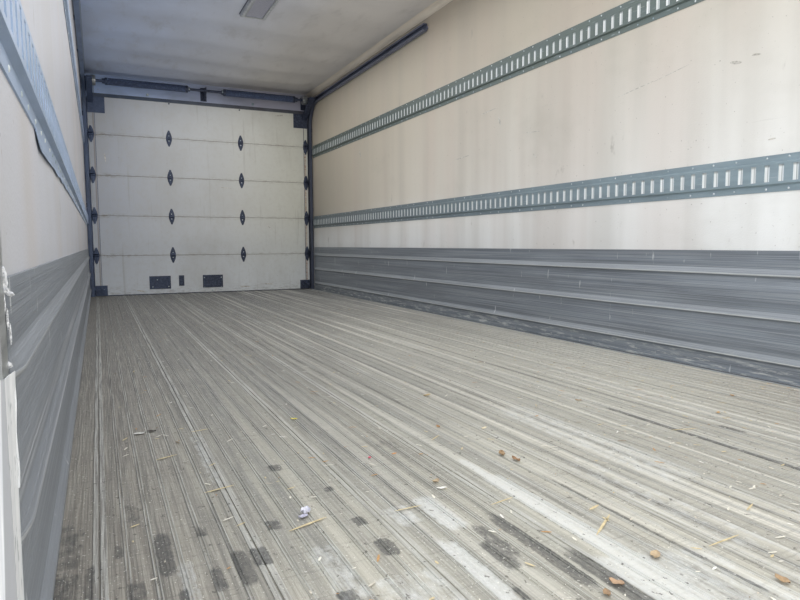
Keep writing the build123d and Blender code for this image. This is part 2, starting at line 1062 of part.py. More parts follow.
def hinge_heights():
    """Middles of the side door's three hinges."""
    low = floor_z + hinge_margin
    high = side_top - hinge_margin
    return (low, (low + high) / 2, high)


def side_hinge_butts():
    """Wall halves of the side door's hinges: two knuckles each, the pin and a plate on the skin."""
    butts = []
    reach = knuckle_length / 2 + knuckle_gap
    wall_x = -outer
    for z in hinge_heights():
        pin = rod(
            pin_radius,
            (pin_x, pin_y, z - reach - knuckle_length / 2),
            (pin_x, pin_y, z + reach + knuckle_length / 2),
        )
        piece = pin
        for z0 in (z - reach - knuckle_length / 2, z + reach):
            z1 = z0 + knuckle_length / 2
            piece += flatted(knuckle_radius, knuckle_flats, (pin_x, pin_y, z0), (pin_x, pin_y, z1))
            arm = [
                (pin_x - knuckle_radius + 3, pin_y + 2),
                (pin_x + knuckle_radius - 2, pin_y),
                (wall_x - strap_gauge, pin_y + butt_start),
                (wall_x, pin_y + butt_start),
                (wall_x, pin_y + butt_start + butt_length),
                (wall_x - strap_gauge, pin_y + butt_start + butt_length),
                (wall_x - strap_gauge - 4, pin_y + butt_start + 12),
            ]
            piece += along_z(arm, z0, z1)
        plate_y = pin_y + butt_start + 2
        piece += block(
            wall_x - strap_gauge,
            wall_x,
            plate_y,
            pin_y + butt_start + butt_length,
            z - reach - knuckle_length / 2,
            z + reach + knuckle_length / 2,
        )
        butts.append(piece)
    return group(butts)


def side_hinge_straps():
    """Leaf halves of the side door's hinges: a knuckle and a strap along the leaf."""
    straps = []
    face_x = -outer
    half = knuckle_length / 2
    for z in hinge_heights():
        knuckle = flatted(knuckle_radius, knuckle_flats, (pin_x, pin_y, z - half), (pin_x, pin_y, z + half))
        arm = [
            (pin_x - knuckle_radius + 1, pin_y - 3),
            (pin_x + knuckle_radius - 2, pin_y - 2),
            (face_x, pin_y - strap_start),
            (face_x, pin_y - strap_length),
            (face_x - strap_gauge, pin_y - strap_length),
            (face_x - strap_gauge, pin_y - strap_start - 28),
        ]
        strap = knuckle + along_z(arm, z - strap_width / 2, z + strap_width / 2)
        hole = pin_radius + pin_clearance
        strap -= rod(hole, (pin_x, pin_y, z - half - 1), (pin_x, pin_y, z + half + 1))
        straps.append(strap)
    return swung_open(group(straps))


def side_lock_bar():
    """Upright lock bar on the leaf, in its guides, with a flat handle in its rest."""
    x = -outer - bar_offset
    y = side_front + bar_inset
    z0 = floor_z + leaf_gap - bar_overrun
    z1 = side_top - leaf_gap + bar_overrun
    bar = flatted(bar_radius, bar_flats, (x, y, z0), (x, y, z1))
    wide = bar_bracket_width / 2
    tall = bar_bracket / 2
    reach = x - bar_radius - bar_bracket_wall
    for share in (0.08, 0.58, 0.92):
        z = floor_z + side_door_height * share
        bar += block(reach, -outer, y - wide, y + wide, z - tall, z + tall)
    z = floor_z + side_door_height * 0.42
    gauge = bar_handle_gauge / 2
    end = y + bar_handle_length
    bar += block(x - gauge, x + gauge, y, end, z - bar_handle_width / 2, z + bar_handle_width / 2)
    bar += block(x + gauge, -outer, end - bar_stop_width, end, z - tall / 2, z + tall / 2)
    return swung_open(bar)


def lock_keepers():
    """Hooked keepers above and below the side opening that the lock bar's ends turn into."""
    x = -outer - bar_offset
    y = side_front + bar_inset
    arm = bar_radius + 6
    keepers = []
    for z0, z1 in (
        (floor_z - bar_overrun - 2, floor_z - 4),
        (side_top + 6, side_top + bar_overrun + 6),
    ):
        keepers.append(
            block(x - 5, -outer - flange_gauge, y + arm, y + arm + 8, z0, z1)
            + block(x - 5, -outer - flange_gauge, y - arm - 8, y - arm, z0, z1)
            + block(-outer - flange_gauge - 4, -outer - flange_gauge, y - arm - 8, y + arm + 8, z0, z1)
        )
    return group(keepers)


def unit_housing():
    """Weather case of the refrigeration unit on the front wall, open at its grille."""
    half = unit_width / 2
    plan = [(-half, front_y), (-half, unit_front), (half, unit_front), (half, front_y)]
    case = along_z(plan, unit_base, unit_top)
    corners = case.edges().filter_by(Axis.Z).group_by(Axis.Y)[0]
    case = fillet(corners, unit_radius)
    rims = [e for e in case.edges() if e.center().Y < front_y - 1]
    rims = [e for e in rims if min(abs(e.center().Z - unit_base), abs(e.center().Z - unit_top)) < 1]
    case = chamfer(rims, unit_bevel)
    gauge = unit_gauge
    inner = along_z(
        [
            (-half + gauge, front_y - gauge),
            (-half + gauge, unit_front + gauge),
            (half - gauge, unit_front + gauge),
            (half - gauge, front_y - gauge),
        ],
        unit_base + gauge,
        unit_top - gauge,
    )
    corners = inner.edges().filter_by(Axis.Z).group_by(Axis.Y)[0]
    case -= fillet(corners, unit_radius - gauge)
    z = unit_centre()
    mouth = block(
        -grille_width / 2,
        grille_width / 2,
        unit_front - 1,
        unit_front + gauge + 1,
        z - grille_height / 2,
        z + grille_height / 2,
    )
    case -= mouth
    base_seam = unit_base + unit_bevel
    lid_seam = unit_top - unit_bevel
    back_seam = front_y - gauge
    side_seam = unit_front + unit_radius
    # Columns: sides, front and back, and heights of each panel's share of the case.
    panels = [
        (-half, half, unit_front, front_y, unit_base, base_seam),
        (-half, half, unit_front, front_y, lid_seam, unit_top),
        (-half, half, back_seam, front_y, base_seam, lid_seam),
        (-half, -half + unit_radius, unit_front, side_seam, base_seam, lid_seam),
        (half - unit_radius, half, unit_front, side_seam, base_seam, lid_seam),
        (-half, -half + gauge, side_seam, back_seam, base_seam, lid_seam),
        (half - gauge, half, side_seam, back_seam, base_seam, lid_seam),
        (-half + unit_radius, half - unit_radius, unit_front, side_seam, base_seam, lid_seam),
    ]
    return group([case & block(*panel) for panel in panels])


def unit_grille():
    """Framed louvres in the mouth of the case."""
    z = (unit_base + unit_top) / 2
    half = grille_width / 2
    rise = grille_height / 2
    rail = grille_rail
    y0 = unit_front
    y1 = unit_front + slat_depth
    frame = block(-half, half, y0, y1, z - rise, z + rise)
    frame -= block(-half + rail, half - rail, y0 - 1, y1 + 1, z - rise + rail, z + rise - rail)
    span = 2 * (rise - rail)
    pitch = span / (slat_count + 1)
    for i in range(slat_count):
        low = z - rise + rail + (i + 1) * pitch
        slat = [
            (y0 + 1, low - pitch / 4),
            (y0 + 1, low - pitch / 4 + slat_gauge),
            (y1 - 1, low + pitch / 4),
            (y1 - 1, low + pitch / 4 - slat_gauge),
        ]
        frame += along_x(slat, -half + rail - 1, half - rail + 1)
    frame += block(-slat_gauge, slat_gauge, y0 + 2, y1 - 2, z - rise + rail - 1, z + rise - rail + 1)
    return frame


def bladed_rotor(centre, radius, hub, depth, blades, bore):
    """A fan turning about Y: a bored hub with pitched blades whose corners stay inside its radius."""
    x, y, z = centre
    rotor = flatted(hub, hub_flats, (x, y, z), (x, y + depth, z))
    width = 2 * math.pi * hub / blades * 1.35
    tip = math.sqrt(radius**2 - (width / 2) ** 2)
    root = hub * 0.6
    for i in range(blades):
        blade = Pos((tip + root) / 2, 0, 0) * Rot(blade_pitch, 0, 0) * Box(tip - root, blade_gauge, width)
        rotor += Pos(x, y + depth / 2, z) * Rot(0, 360 * i / blades, 0) * blade
    return rotor - rod(bore, (x, y - 1, z), (x, y + depth + 1, z))


def unit_centre():
    """Middle height of the refrigeration unit."""
    return (unit_base + unit_top) / 2


def condenser_fan():
    """The fan that shows through the louvres."""
    y = unit_front + slat_depth + 60
    centre = (0, y, unit_centre())
    return bladed_rotor(centre, fan_radius, fan_hub, fan_depth, fan_blades, axle_radius + axle_clearance)


def fan_motor():
    """Motor and axle behind the condenser fan, on its stand off the back of the case."""
    z = unit_centre()
    fan_y = unit_front + slat_depth + 60
    motor_y = fan_y + fan_depth + fan_clearance
    back = front_y - unit_gauge
    motor = rod(motor_radius, (0, motor_y, z), (0, motor_y + motor_length, z))
    motor += rod(axle_radius, (0, fan_y - 6, z), (0, motor_y, z))
    motor += block(-40, 40, motor_y + motor_length, back, z - 40, z + 40)
    return motor


def evaporator_housing():
    """Cooler case through the front wall, with two round mouths that blow down the load space."""
    case = block(-evap_width / 2, evap_width / 2, front_y, evap_end, evap_base, evap_top)
    lower = case.edges().filter_by(Axis.X).group_by(Axis.Y)[-1].sort_by(Axis.Z)[0]
    case = chamfer(lower, evap_bevel)
    for side in (-1, 1):
        x = side * evap_fan_spacing / 2
        z = (evap_base + evap_top) / 2 + fan_offset
        r = evap_fan_radius + fan_clearance
        case -= rod(r, (x, evap_end - evap_recess, z), (x, evap_end + 1, z))
        case += rod(axle_radius, (x, evap_end - evap_recess, z), (x, evap_end - 20, z))
    return case


def evaporator_fan(side):
    """One of the evaporator's fans, in its mouth."""
    x = side * evap_fan_spacing / 2
    z = (evap_base + evap_top) / 2 + fan_offset
    y = evap_end - evap_recess + fan_clearance + 8
    bore = axle_radius + axle_clearance
    return bladed_rotor((x, y, z), evap_fan_radius, evap_fan_hub, evap_fan_depth, evap_fan_blades, bore)


def evaporator_guards():
    """Guards over the evaporator's mouths: a flat rim with crossing bars."""
    guards = []
    z = (evap_base + evap_top) / 2 + fan_offset
    r = evap_fan_radius + fan_clearance + guard_rim
    y0 = evap_end
    y1 = evap_end + guard_gauge
    for side in (-1, 1):
        x = side * evap_fan_spacing / 2
        guard = flatted(r, guard_flats, (x, y0, z), (x, y1, z))
        guard -= flatted(r - guard_rim, guard_flats, (x, y0 - 1, z), (x, y1 + 1, z))
        for i in range(3):
            bar = Box(2 * r - guard_rim, guard_gauge, guard_gauge)
            guard += Pos(x, (y0 + y1) / 2, z) * Rot(0, 60 * i, 0) * bar
        guards.append(guard)
    return group(guards)


def lamp(x, y, z, facing):
    """A small oblong marker lamp; facing is the outward direction along X or Y."""
    w = marker_width / 2
    h = marker_height / 2
    d = marker_depth
    fx, fy = facing
    if fx:
        body = block(x, x + fx * d, y - w, y + w, z - h, z + h)
        edges = body.faces().sort_by(Axis.X)[-1 if fx > 0 else 0].edges()
    else:
        body = block(x - w, x + w, y, y + fy * d, z - h, z + h)
        edges = body.faces().sort_by(Axis.Y)[-1 if fy > 0 else 0].edges()
    return chamfer(edges, d / 2)


def amber_markers():
    """Amber lamps: high on the front corners, and low on the forward sides."""
    front = lamp(half_width + wall / 3, front_y, ceiling_z - 60, (0, -1))
    side = lamp(skin, front_in + marker_side_setback, core_z + 20, (1, 0))
    return both_sides(group([front, side]))


def red_markers():
    """Red lamps: three in the middle of the header and one at each end, and low on the rear sides."""
    z = roof_z - 48
    lamps = []
    for place in (-1, 0, 1):
        lamps.append(lamp(place * marker_row_pitch, rear_y, z, (0, 1)))
    for side in (-1, 1):
        lamps.append(lamp(side * (skin - marker_corner_inset), rear_y, z, (0, 1)))
        lamps.append(lamp(side * skin, frame_y - marker_end_setback, core_z + 20, (side, 0)))
    return group(lamps)


def tail_lamps():
    """Round stop and tail lamps, two in each rear post."""
    x = skin - post_width / 2
    lamps = []
    for z in (floor_z + tail_base, floor_z + tail_base + tail_radius * 2.6):
        lamps.append(flatted(tail_radius, tail_flats, (x, rear_y, z), (x, rear_y + tail_depth, z)))
    return both_sides(group(lamps))


curb_start = side_rear + jamb_flange

# One row for each node: name, solid.
nodes = [
    ("long_sills", long_sills()),
    ("cross_members", cross_members()),
    ("floor_insulation", floor_insulation()),
    ("floor_planks", floor_planks()),
    ("bottom_rails", group([bottom_rails(), front_sill()])),
    ("street_wall", street_wall()),
    ("curb_wall", curb_wall()),
    ("front_wall", front_wall()),
    ("roof_panel", roof_panel()),
    ("top_rails", group([top_rails(), front_top_rail()])),
    ("front_corner_posts", front_corner_posts()),
    ("front_corner_caps", front_corner_caps()),
    ("rear_frame", rear_frame()),
    ("dock_bumpers", dock_bumpers()),
    ("scuff_liners", scuff_liners()),
    ("cove_mouldings", cove_mouldings()),
    ("dome_lights", dome_lights()),
    ("dome_lenses", dome_lenses()),
    ("door_hinges", group([door_hinges(), roller_hinges()])),
    ("rollers", rollers()),
    ("bottom_brackets", bottom_brackets()),
    ("top_brackets", top_brackets()),
    ("door_tracks", group([door_track(1), door_track(-1)])),
    ("counterbalance_shaft", counterbalance_shaft()),
    ("torsion_springs", torsion_springs()),
    ("cable_drums", cable_drums()),
    ("lift_cables", lift_cables()),
    ("shaft_brackets", shaft_brackets()),
    ("door_seals", door_seals()),
    ("grip_plates", grip_plates()),
    ("door_latch", door_latch()),
    ("side_door_frame", side_door_frame()),
    ("side_door_leaf", side_door_leaf()),
    ("side_door_gasket", side_door_gasket()),
    ("side_hinge_butts", side_hinge_butts()),
    ("side_hinge_straps", side_hinge_straps()),
    ("side_lock_bar", side_lock_bar()),
    ("lock_keepers", lock_keepers()),
    ("unit_housing", unit_housing()),
    ("unit_grille", unit_grille()),
    ("condenser_fan", condenser_fan()),
    ("fan_motor", fan_motor()),
    ("evaporator_housing", evaporator_housing()),
    ("evaporator_guards", evaporator_guards()),
    ("evaporator_fan_street", evaporator_fan(1)),
    ("evaporator_fan_curb", evaporator_fan(-1)),
    ("amber_lamps", amber_markers()),
    ("red_lamps", group([red_markers(), tail_lamps()])),
]
for i in range(panel_count):
    nodes.append((f"door_section_{i + 1}", door_panel(i)))
for name, side, start in (("street", 1, front_in), ("curb", -1, curb_start)):
    rails = [etrack(side, height, start, lining_end) for height in etrack_heights]
    nodes.append((f"lashing_tracks_{name}", group(rails)))

os.makedirs("parts", exist_ok=True)
for name, shape in nodes:
    export_step(shape, f"parts/{name}.step")
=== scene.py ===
import bpy
import numpy as np
from mathutils import Matrix, Vector


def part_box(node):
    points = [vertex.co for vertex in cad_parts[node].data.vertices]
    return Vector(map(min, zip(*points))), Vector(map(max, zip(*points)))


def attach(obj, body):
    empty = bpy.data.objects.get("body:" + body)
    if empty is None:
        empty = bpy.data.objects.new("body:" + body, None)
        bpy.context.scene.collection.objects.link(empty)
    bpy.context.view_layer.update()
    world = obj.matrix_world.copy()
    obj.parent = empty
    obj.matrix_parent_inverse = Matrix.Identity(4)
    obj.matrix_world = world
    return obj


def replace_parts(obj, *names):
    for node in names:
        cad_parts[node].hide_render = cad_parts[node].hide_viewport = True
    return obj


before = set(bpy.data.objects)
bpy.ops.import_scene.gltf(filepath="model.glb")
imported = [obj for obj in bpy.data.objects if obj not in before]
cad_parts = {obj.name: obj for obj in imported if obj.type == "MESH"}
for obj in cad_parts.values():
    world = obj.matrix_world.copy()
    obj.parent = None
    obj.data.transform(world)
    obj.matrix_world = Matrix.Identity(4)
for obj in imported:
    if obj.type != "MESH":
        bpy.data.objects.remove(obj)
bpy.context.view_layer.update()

# Underframe. Two long channel sills in satin black paint carry galvanised cross members. Both are
# bought steel sections, cut, drilled and welded, and road dust lies on every upward face.


def linear(code):
    """sRGB hex to linear: ((c + 0.055) / 1.055) ** 2.4, or c / 12.92 near black."""
    levels = np.array([int(code[i : i + 2], 16) / 255 for i in (1, 3, 5)])
    curved = ((levels + 0.055) / 1.055) ** 2.4
    return (*np.where(levels > 0.04045, curved, levels / 12.92).tolist(), 1.0)


def add(tree, kind, *values, out=0, **settings):
    """One node with its settings. Values go to its open inputs in order: None skips one, a hex code is a
    colour, and a tuple (socket, from, to), or with two results after them, goes through Map Range first."""
    node = tree.nodes.new("ShaderNode" + kind)
    for name, value in settings.items():
        setattr(node, name, value)
    for socket, value in zip([s for s in node.inputs if s.enabled], values):
        if isinstance(value, tuple) and isinstance(value[0], bpy.types.NodeSocket):
            value = add(tree, "MapRange", *value)
        if isinstance(value, bpy.types.NodeSocket):
            tree.links.new(value, socket)
        elif value is not None:
            socket.default_value = linear(value) if isinstance(value, str) else value
    return [s for s in node.outputs if s.enabled][out]


def new_material(name, **sockets):
    """A material's tree and shader, with the object's own coordinates: as one socket, and split."""
    material = bpy.data.materials.new(name)
    material.use_nodes = True
    tree = material.node_tree
    shader = tree.nodes["Principled BSDF"]
    for socket, value in sockets.items():
        shader.inputs[socket].default_value = value
    place = add(tree, "TexCoord", out=3)
    return material, tree, shader, place, *add(tree, "SeparateXYZ", place, out=slice(3))


def grain(place, per_metre, low, high, detail=4.0, rough=0.55):
    """A mask from 0 to 1: noise in cells 1 / per_metre long on each axis, cut smoothly between two levels."""
    tree = place.id_data
    scale = (per_metre,) * 3 if np.isscalar(per_metre) else per_metre
    noise = add(tree, "TexNoise", add(tree, "Mapping", place, None, None, scale), 1.0, detail, rough)
    return add(tree, "MapRange", noise, low, high, interpolation_type="SMOOTHSTEP")


def layered(tree, base, *coats):
    """Colour laid over colour: a coat is its colour, its greatest cover, and the masks that thin it."""
    for colour, cover, *masks in coats:
        share = cover
        for mask in masks:
            share = add(tree, "Math", mask, share, operation="MULTIPLY")
        base = add(tree, "Mix", share, base, colour, data_type="RGBA")
    return base


def finish(shader, height, metres, base, *coats, **sockets):
    """Joins up a material: coats over its base, a height mask that stands metres tall where it is 1, and
    other sockets by name, each from a mask or a tuple as above."""
    tree = shader.id_data
    tree.links.new(layered(tree, base, *coats), shader.inputs["Base Color"])
    for name, mask in sockets.items():
        mapped = add(tree, "MapRange", *mask) if isinstance(mask, tuple) else mask
        tree.links.new(mapped, shader.inputs[name])
    if metres:
        tree.links.new(add(tree, "Bump", None, metres, None, height), shader.inputs["Normal"])


def dress(material, *names):
    """Gives CAD nodes their finish."""
    for name in names:
        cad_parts[name].data.materials.clear()
        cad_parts[name].data.materials.append(material)


# Black chassis paint over rolled steel: satin, dulled by dust, a little orange peel.
chassis_paint, tree, shader, place, x, y, z = new_material("satin_chassis_paint")
dust = grain(place, (6, 2.5, 9), 0.42, 0.72)
peel = grain(place, 420, 0.3, 0.7)
finish(shader, peel, 0.0002, "#232527", ("#5B5854", 0.9, dust), Roughness=(dust, 0, 1, 0.4, 0.75))
dress(chassis_paint, "long_sills", "fan_motor")

# Hot-dip galvanising: zinc crystals some 12 mm across, dull grey, with paler bloom.
galvanised, tree, shader, place, x, y, z = new_material("galvanised_steel", Metallic=0.7)
shades = add(tree, "SeparateColor", add(tree, "TexVoronoi", place, 80.0, out=1))
bloom = grain(place, 7, 0.4, 0.75)
coats = ("#A2A7AA", 1, shades), ("#B4B5B2", 0.8, bloom)
finish(shader, shades, 0.0001, "#7C8286", *coats, Roughness=(bloom, 0, 1, 0.38, 0.62))
dress(galvanised, "cross_members", "side_hinge_butts", "side_hinge_straps", "side_lock_bar")
dress(galvanised, "lock_keepers", "evaporator_guards")

# Floor. Extruded aluminium planks stand side by side on a foam slab: flat bands between pairs of fine
# ribs, and a broad interlocking joint at each plank's edge. Feet and pallets have polished the ribs
# and stained the bands.


def placed(name, data):
    """A new object in the scene that shows some data."""
    thing = bpy.data.objects.new(name, data)
    bpy.context.scene.collection.objects.link(thing)
    return thing


def mesh_object(name, points, faces, material, smooth=False):
    """An object from arrays of points and of faces, in one material."""
    mesh = bpy.data.meshes.new(name)
    mesh.from_pydata(np.asarray(points, float).tolist(), [], faces)
    mesh.materials.append(material)
    mesh.polygons.foreach_set("use_smooth", [smooth] * len(mesh.polygons))
    mesh.update()
    return placed(name, mesh)


def solid(name, points, faces, material, smooth=False):
    """A mesh piece of the box body, with its slot."""
    piece = mesh_object(name, points, faces, material, smooth)
    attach(piece, "box_body")
    return piece


def surface(name, grids, material, smooth=False, closed=False):
    """One mesh from grids of points (rows, columns, 3), facing along columns x rows; closed makes bars with
    two ends."""
    points = np.zeros((0, 3))
    faces = []
    for grid in [grids] if isinstance(grids, np.ndarray) else grids:
        rows, columns = grid.shape[:2]
        index = len(points) + np.arange(rows * columns).reshape(rows, columns)
        wrapped = np.concatenate([index, index[:, :1]], 1) if closed else index
        corners = [wrapped[:-1, :-1], wrapped[:-1, 1:], wrapped[1:, 1:], wrapped[1:, :-1]]
        faces += np.stack(corners, -1).reshape(-1, 4).tolist()
        if closed:
            faces += [index[0, ::-1].tolist(), index[-1].tolist()]
        points = np.concatenate([points, grid.reshape(-1, 3)])
    return solid(name, points, faces, material, smooth)


def for_side(grid, side):
    """The grid of one side, turned over where side is 1, so that it faces as its mirror image does."""
    return grid[:, ::-1] if side > 0 else grid


def carried(profile, path_axis, stations):
    """A profile (n, 2) in the plane across an axis, repeated at each station: rows are stations."""
    grid = np.zeros((len(stations), len(profile), 3))
    grid[:, :, [axis for axis in range(3) if axis != path_axis]] = profile
    grid[:, :, path_axis] = np.asarray(stations)[:, None]
    return grid


floor_low, floor_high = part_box("floor_planks")
floor_top = floor_high.z
half_inside, outer_rib = 1.107, 1.078
rib_pitch, ridge_height = 0.0381, 0.0025
joint_pitch, joint_phase = 6 * rib_pitch, 0.098

# In mm, and as shares of the ridge height: a rib is two ridges, a joint a 22 mm band with a groove.
rib = [[-4.4, -0.6], [-3.6, 0], [-1.8, 0], [-1.0, -0.5], [1.0, -0.5], [1.8, 0], [3.6, 0], [4.4, -0.6]]
joint = [[-11.4, -0.6], [-10.4, 0], [-2.2, 0], [-1.4, -1], [0.2, -1], [1.0, 0], [10.4, 0], [11.4, -0.6]]
count = int(2 * half_inside / rib_pitch) + 2
middles = joint_phase + rib_pitch * (np.arange(count) - round((half_inside + joint_phase) / rib_pitch))
middles = middles[np.abs(middles) < outer_rib]
planks_along = (middles - joint_phase) / joint_pitch
is_joint = np.isclose(planks_along, np.round(planks_along))
shapes = np.where(is_joint[:, None, None], joint, rib)
top_x = (middles[:, None] + shapes[:, :, 0] / 1000).ravel()
top_z = (floor_top + shapes[:, :, 1] * ridge_height).ravel()
edge_x = floor_high.x - 0.0005
band_z = floor_top - 0.6 * ridge_height
top_x = np.r_[-edge_x, top_x, edge_x]
top_z = np.r_[band_z, top_z, band_z]
base_z = floor_low.z + 0.001


def planks(across, stations):
    """The floor's section over some x, carried along y; plank number n sinks by 0.25 mm times
    1 + sin(1.9 y + 2.3 n)."""
    tops = np.stack([across, np.interp(across, top_x, top_z)], 1)
    profile = np.concatenate([[[-edge_x, base_z]], tops, [[edge_x, base_z]]])
    grid = carried(profile, 1, stations)
    number = np.floor((grid[:, :, 0] - joint_phase) / joint_pitch)
    sink = 0.00025 * (1 + np.sin(1.9 * grid[:, :, 1] + 2.3 * number))
    grid[:, :, 2] -= np.where(grid[:, :, 2] > base_z + 0.001, sink, 0)
    return grid


# Worn aluminium: dull grey oxide, ridges rubbed bright, stained bands, white corrosion, dust and grit; a
# painted highlight on the ridge tops, and painted light and shade across the floor.
worn_floor, tree, shader, place, x, y, z = new_material("worn_extruded_aluminium")
steps = add(tree, "Math", add(tree, "Math", x, -joint_phase), 1 / rib_pitch, operation="MULTIPLY")
tone = add(tree, "TexWhiteNoise", add(tree, "Math", steps, operation="FLOOR"), noise_dimensions="1D")
streaks = grain(place, (30, 0.55, 1), 0.36, 0.64, 6.0, 0.6)
fine = grain(place, (260, 6, 1), 0.3, 0.72, 6.0, 0.65)
crossing = grain(place, (9, 130, 1), 0.5, 0.72, 5.0, 0.7)
clouds = grain(place, (2.2, 1.5, 1), 0.3, 0.72)
speckle = grain(place, (190, 110, 1), 0.35, 0.62, 5.0, 0.75)
salt = grain(place, (230, 170, 200), 0.62, 0.7, 3.0, 0.6)
grit = grain(place, (110, 75, 110), 0.64, 0.7, 3.0, 0.6)
furrows = grain(place, (46, 0.4, 1), 0.5, 0.68, 5.0, 0.6)
polish = grain(place, (38, 0.3, 1), 0.52, 0.66, 5.0, 0.6)
tops = z, floor_top - 0.0012, floor_top - 0.0004
# Five flutes between ribs, 6.35 mm apart, where they aren't worn away: sin(20 * scale * x).
flutes = add(tree, "TexWave", place, 2 * np.pi / 0.00635 / 20, 0.0, out=1, bands_direction="X")
unworn = grain(place, (1.7, 0.5, 1), 0.46, 0.56, 3.0)
ragged = add(tree, "TexNoise", add(tree, "Mapping", place, None, None, (80, 34, 80)), 1.0, 6.0, 0.7)
stain = add(tree, "Math", add(tree, "Attribute", attribute_name="stain", out=2), ragged)
pale = add(tree, "Math", add(tree, "Attribute", attribute_name="pale", out=2), ragged)
far_shade = y, -1.2, 3.4
finish(
    shader,
    add(tree, "Math", fine, salt),
    0.0006,
    "#747570",
    ("#A8A597", 1, streaks),
    ("#B7B4A6", 0.4, tone),
    ("#857E73", 0.4, clouds),
    # Painted light: lighter towards the street side.
    ("#D6D3C7", 0.6, (x, -0.5, 0.9)),
    # Painted shade: darker and bluer towards the far end, and there towards the curb side.
    ("#5C5F66", 0.75, far_shade),
    ("#474D5A", 0.9, far_shade, (x, 0.7, -0.5)),
    ("#41444D", 0.8, (y, 0.4, 3.2)),
    # Painted light: a paler patch on the street side of the middle.
    ("#E4E1D5", 0.3, (x, -0.3, 0.4), (y, 0.6, -0.4), (y, -2.0, -1.0)),
    ("#8F8C84", 0.45, (x, 0.1, 0.6), (y, -1.4, -2.0)),
    ("#5F544C", 0.6, (x, -0.74, -1.0)),
    # Painted shade: darker towards the curb side beyond the middle.
    ("#54524F", 0.62, (x, 0.2, -0.3), (y, -1.6, -0.2)),
    ("#B49E86", 0.4, (x, 0.65, 1.05), (y, -0.8, -2.0)),
    ("#5C5A54", 0.75, furrows),
    ("#F0EDE2", 0.7, polish, (x, -0.9, 0.2)),
    ("#CDCABE", 0.45, fine),
    ("#5A5954", 0.3, flutes, unworn),
    ("#5F5D58", 0.35, crossing),
    # Ridge tops lighter: rubbed bright, and a painted highlight.
    ("#DBDCD8", 0.62, tops, (fine, 0, 1, 0.15, 1)),
    ("#D3D5D3", 0.66, (pale, 0.9, 1.15), (speckle, 0, 1, 0.6, 1)),
    ("#393A3B", 0.8, (stain, 0.9, 1.15), (speckle, 1, 0, 0.7, 1)),
    ("#E3E1D8", 0.75, salt),
    ("#46423C", 0.7, grit),
    ("#8A949B", 0.85, (x, 1.072, 1.079)),
    ("#33383E", 0.85, (x, 1.0925, 1.0955)),
    Roughness=(fine, 0, 1, 0.42, 0.68),
    Metallic=add(tree, "Math", tops, 0.45, operation="MULTIPLY"),
)

# The planks run the whole length; the stretch inside the side door is ruled finer, to carry its stains.
entry_start, entry_end = -2.55, -1.2
gaps = np.diff(top_x)
wide = gaps > 0.010
inner_x = top_x[:-1][wide][:, None] + gaps[wide][:, None] * [0.25, 0.5, 0.75]
entry = planks(np.sort(np.r_[top_x, inner_x.ravel()]), np.linspace(entry_start, entry_end, 136))
front_part = planks(top_x, np.linspace(floor_low.y + 0.0005, entry_start, 14))
rear_part = planks(top_x, np.linspace(entry_end, floor_high.y - 0.0005, 56))
entry_floor = surface("floor_surface_entry", entry, worn_floor, closed=True)
long_floor = surface("floor_surface", [front_part, rear_part], worn_floor, closed=True)
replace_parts(long_floor, "floor_planks")

# Columns, in thousandths: middle X, middle Y, half width, half length, strength.
dark_stains = [
    [-991, -1640, 15, 76, 550], [-953, -1819, 13, 80, 950], [-887, -1763, 13, 24, 600],
    [-816, -1895, 16, 34, 800], [-771, -1794, 14, 22, 800], [-847, -1915, 13, 60, 900],
    [-886, -1935, 12, 40, 700], [-630, -1845, 15, 21, 700], [-625, -1953, 16, 32, 950],
    [-1018, -1780, 8, 30, 600], [-735, -2065, 15, 22, 900], [-698, -1514, 18, 26, 700],
    [-631, -1682, 13, 17, 600], [-410, -1480, 35, 50, 450], [-998, -1930, 14, 46, 600],
    [-940, -1970, 8, 30, 900], [-408, -2060, 16, 150, 750], [-372, -2200, 16, 120, 750],
    [-455, -2010, 16, 70, 700], [458, -1759, 12, 45, 700], [-198, -2080, 8, 300, 650],
    [320, -1780, 7, 420, 650], [-1092, -1725, 28, 110, 550], [-1061, -1859, 9, 62, 650],
    [-1093, -1870, 24, 60, 600], [-476, -2053, 16, 55, 750], [-513, -2160, 6, 22, 700],
]
pale_patches = [
    [-484, -1874, 26, 85, 750], [-532, -2072, 18, 115, 750], [-301, -1960, 28, 230, 720],
    [-315, -2230, 50, 120, 720], [-240, -2330, 90, 220, 550], [-304, -1790, 12, 170, 750],
    [-551, -1855, 30, 50, 550], [-724, -1990, 32, 110, 500], [-929, -1930, 16, 90, 500],
    [-640, -2150, 60, 140, 500], [-80, -1990, 45, 300, 450], [60, -1640, 70, 420, 500],
    [-823, -1350, 18, 260, 500],
]
flat = entry.reshape(-1, 3)[:, :2]
for name, patches in (("stain", dark_stains), ("pale", pale_patches)):
    # Greatest over the patches of strength * f(dx / half width) * f(dy / half length), where f falls
    # from 1 to 0 between 0.7 and 1.2.
    patches = np.array(patches) / 1000
    away = np.abs(flat[:, None] - patches[None, :, :2]) / patches[None, :, 2:4]
    strength = (np.clip((1.2 - away) / 0.5, 0, 1).prod(-1) * patches[:, 4]).max(-1)
    entry_floor.data.attributes.new(name, "FLOAT", "POINT").data.foreach_set("value", strength)

# Foam slab and bottom rails. The slab under the planks has a white skin; mill aluminium rails close
# its edges, and mill aluminium also makes the top rails, corner posts, cast caps and the side door's
# frame.


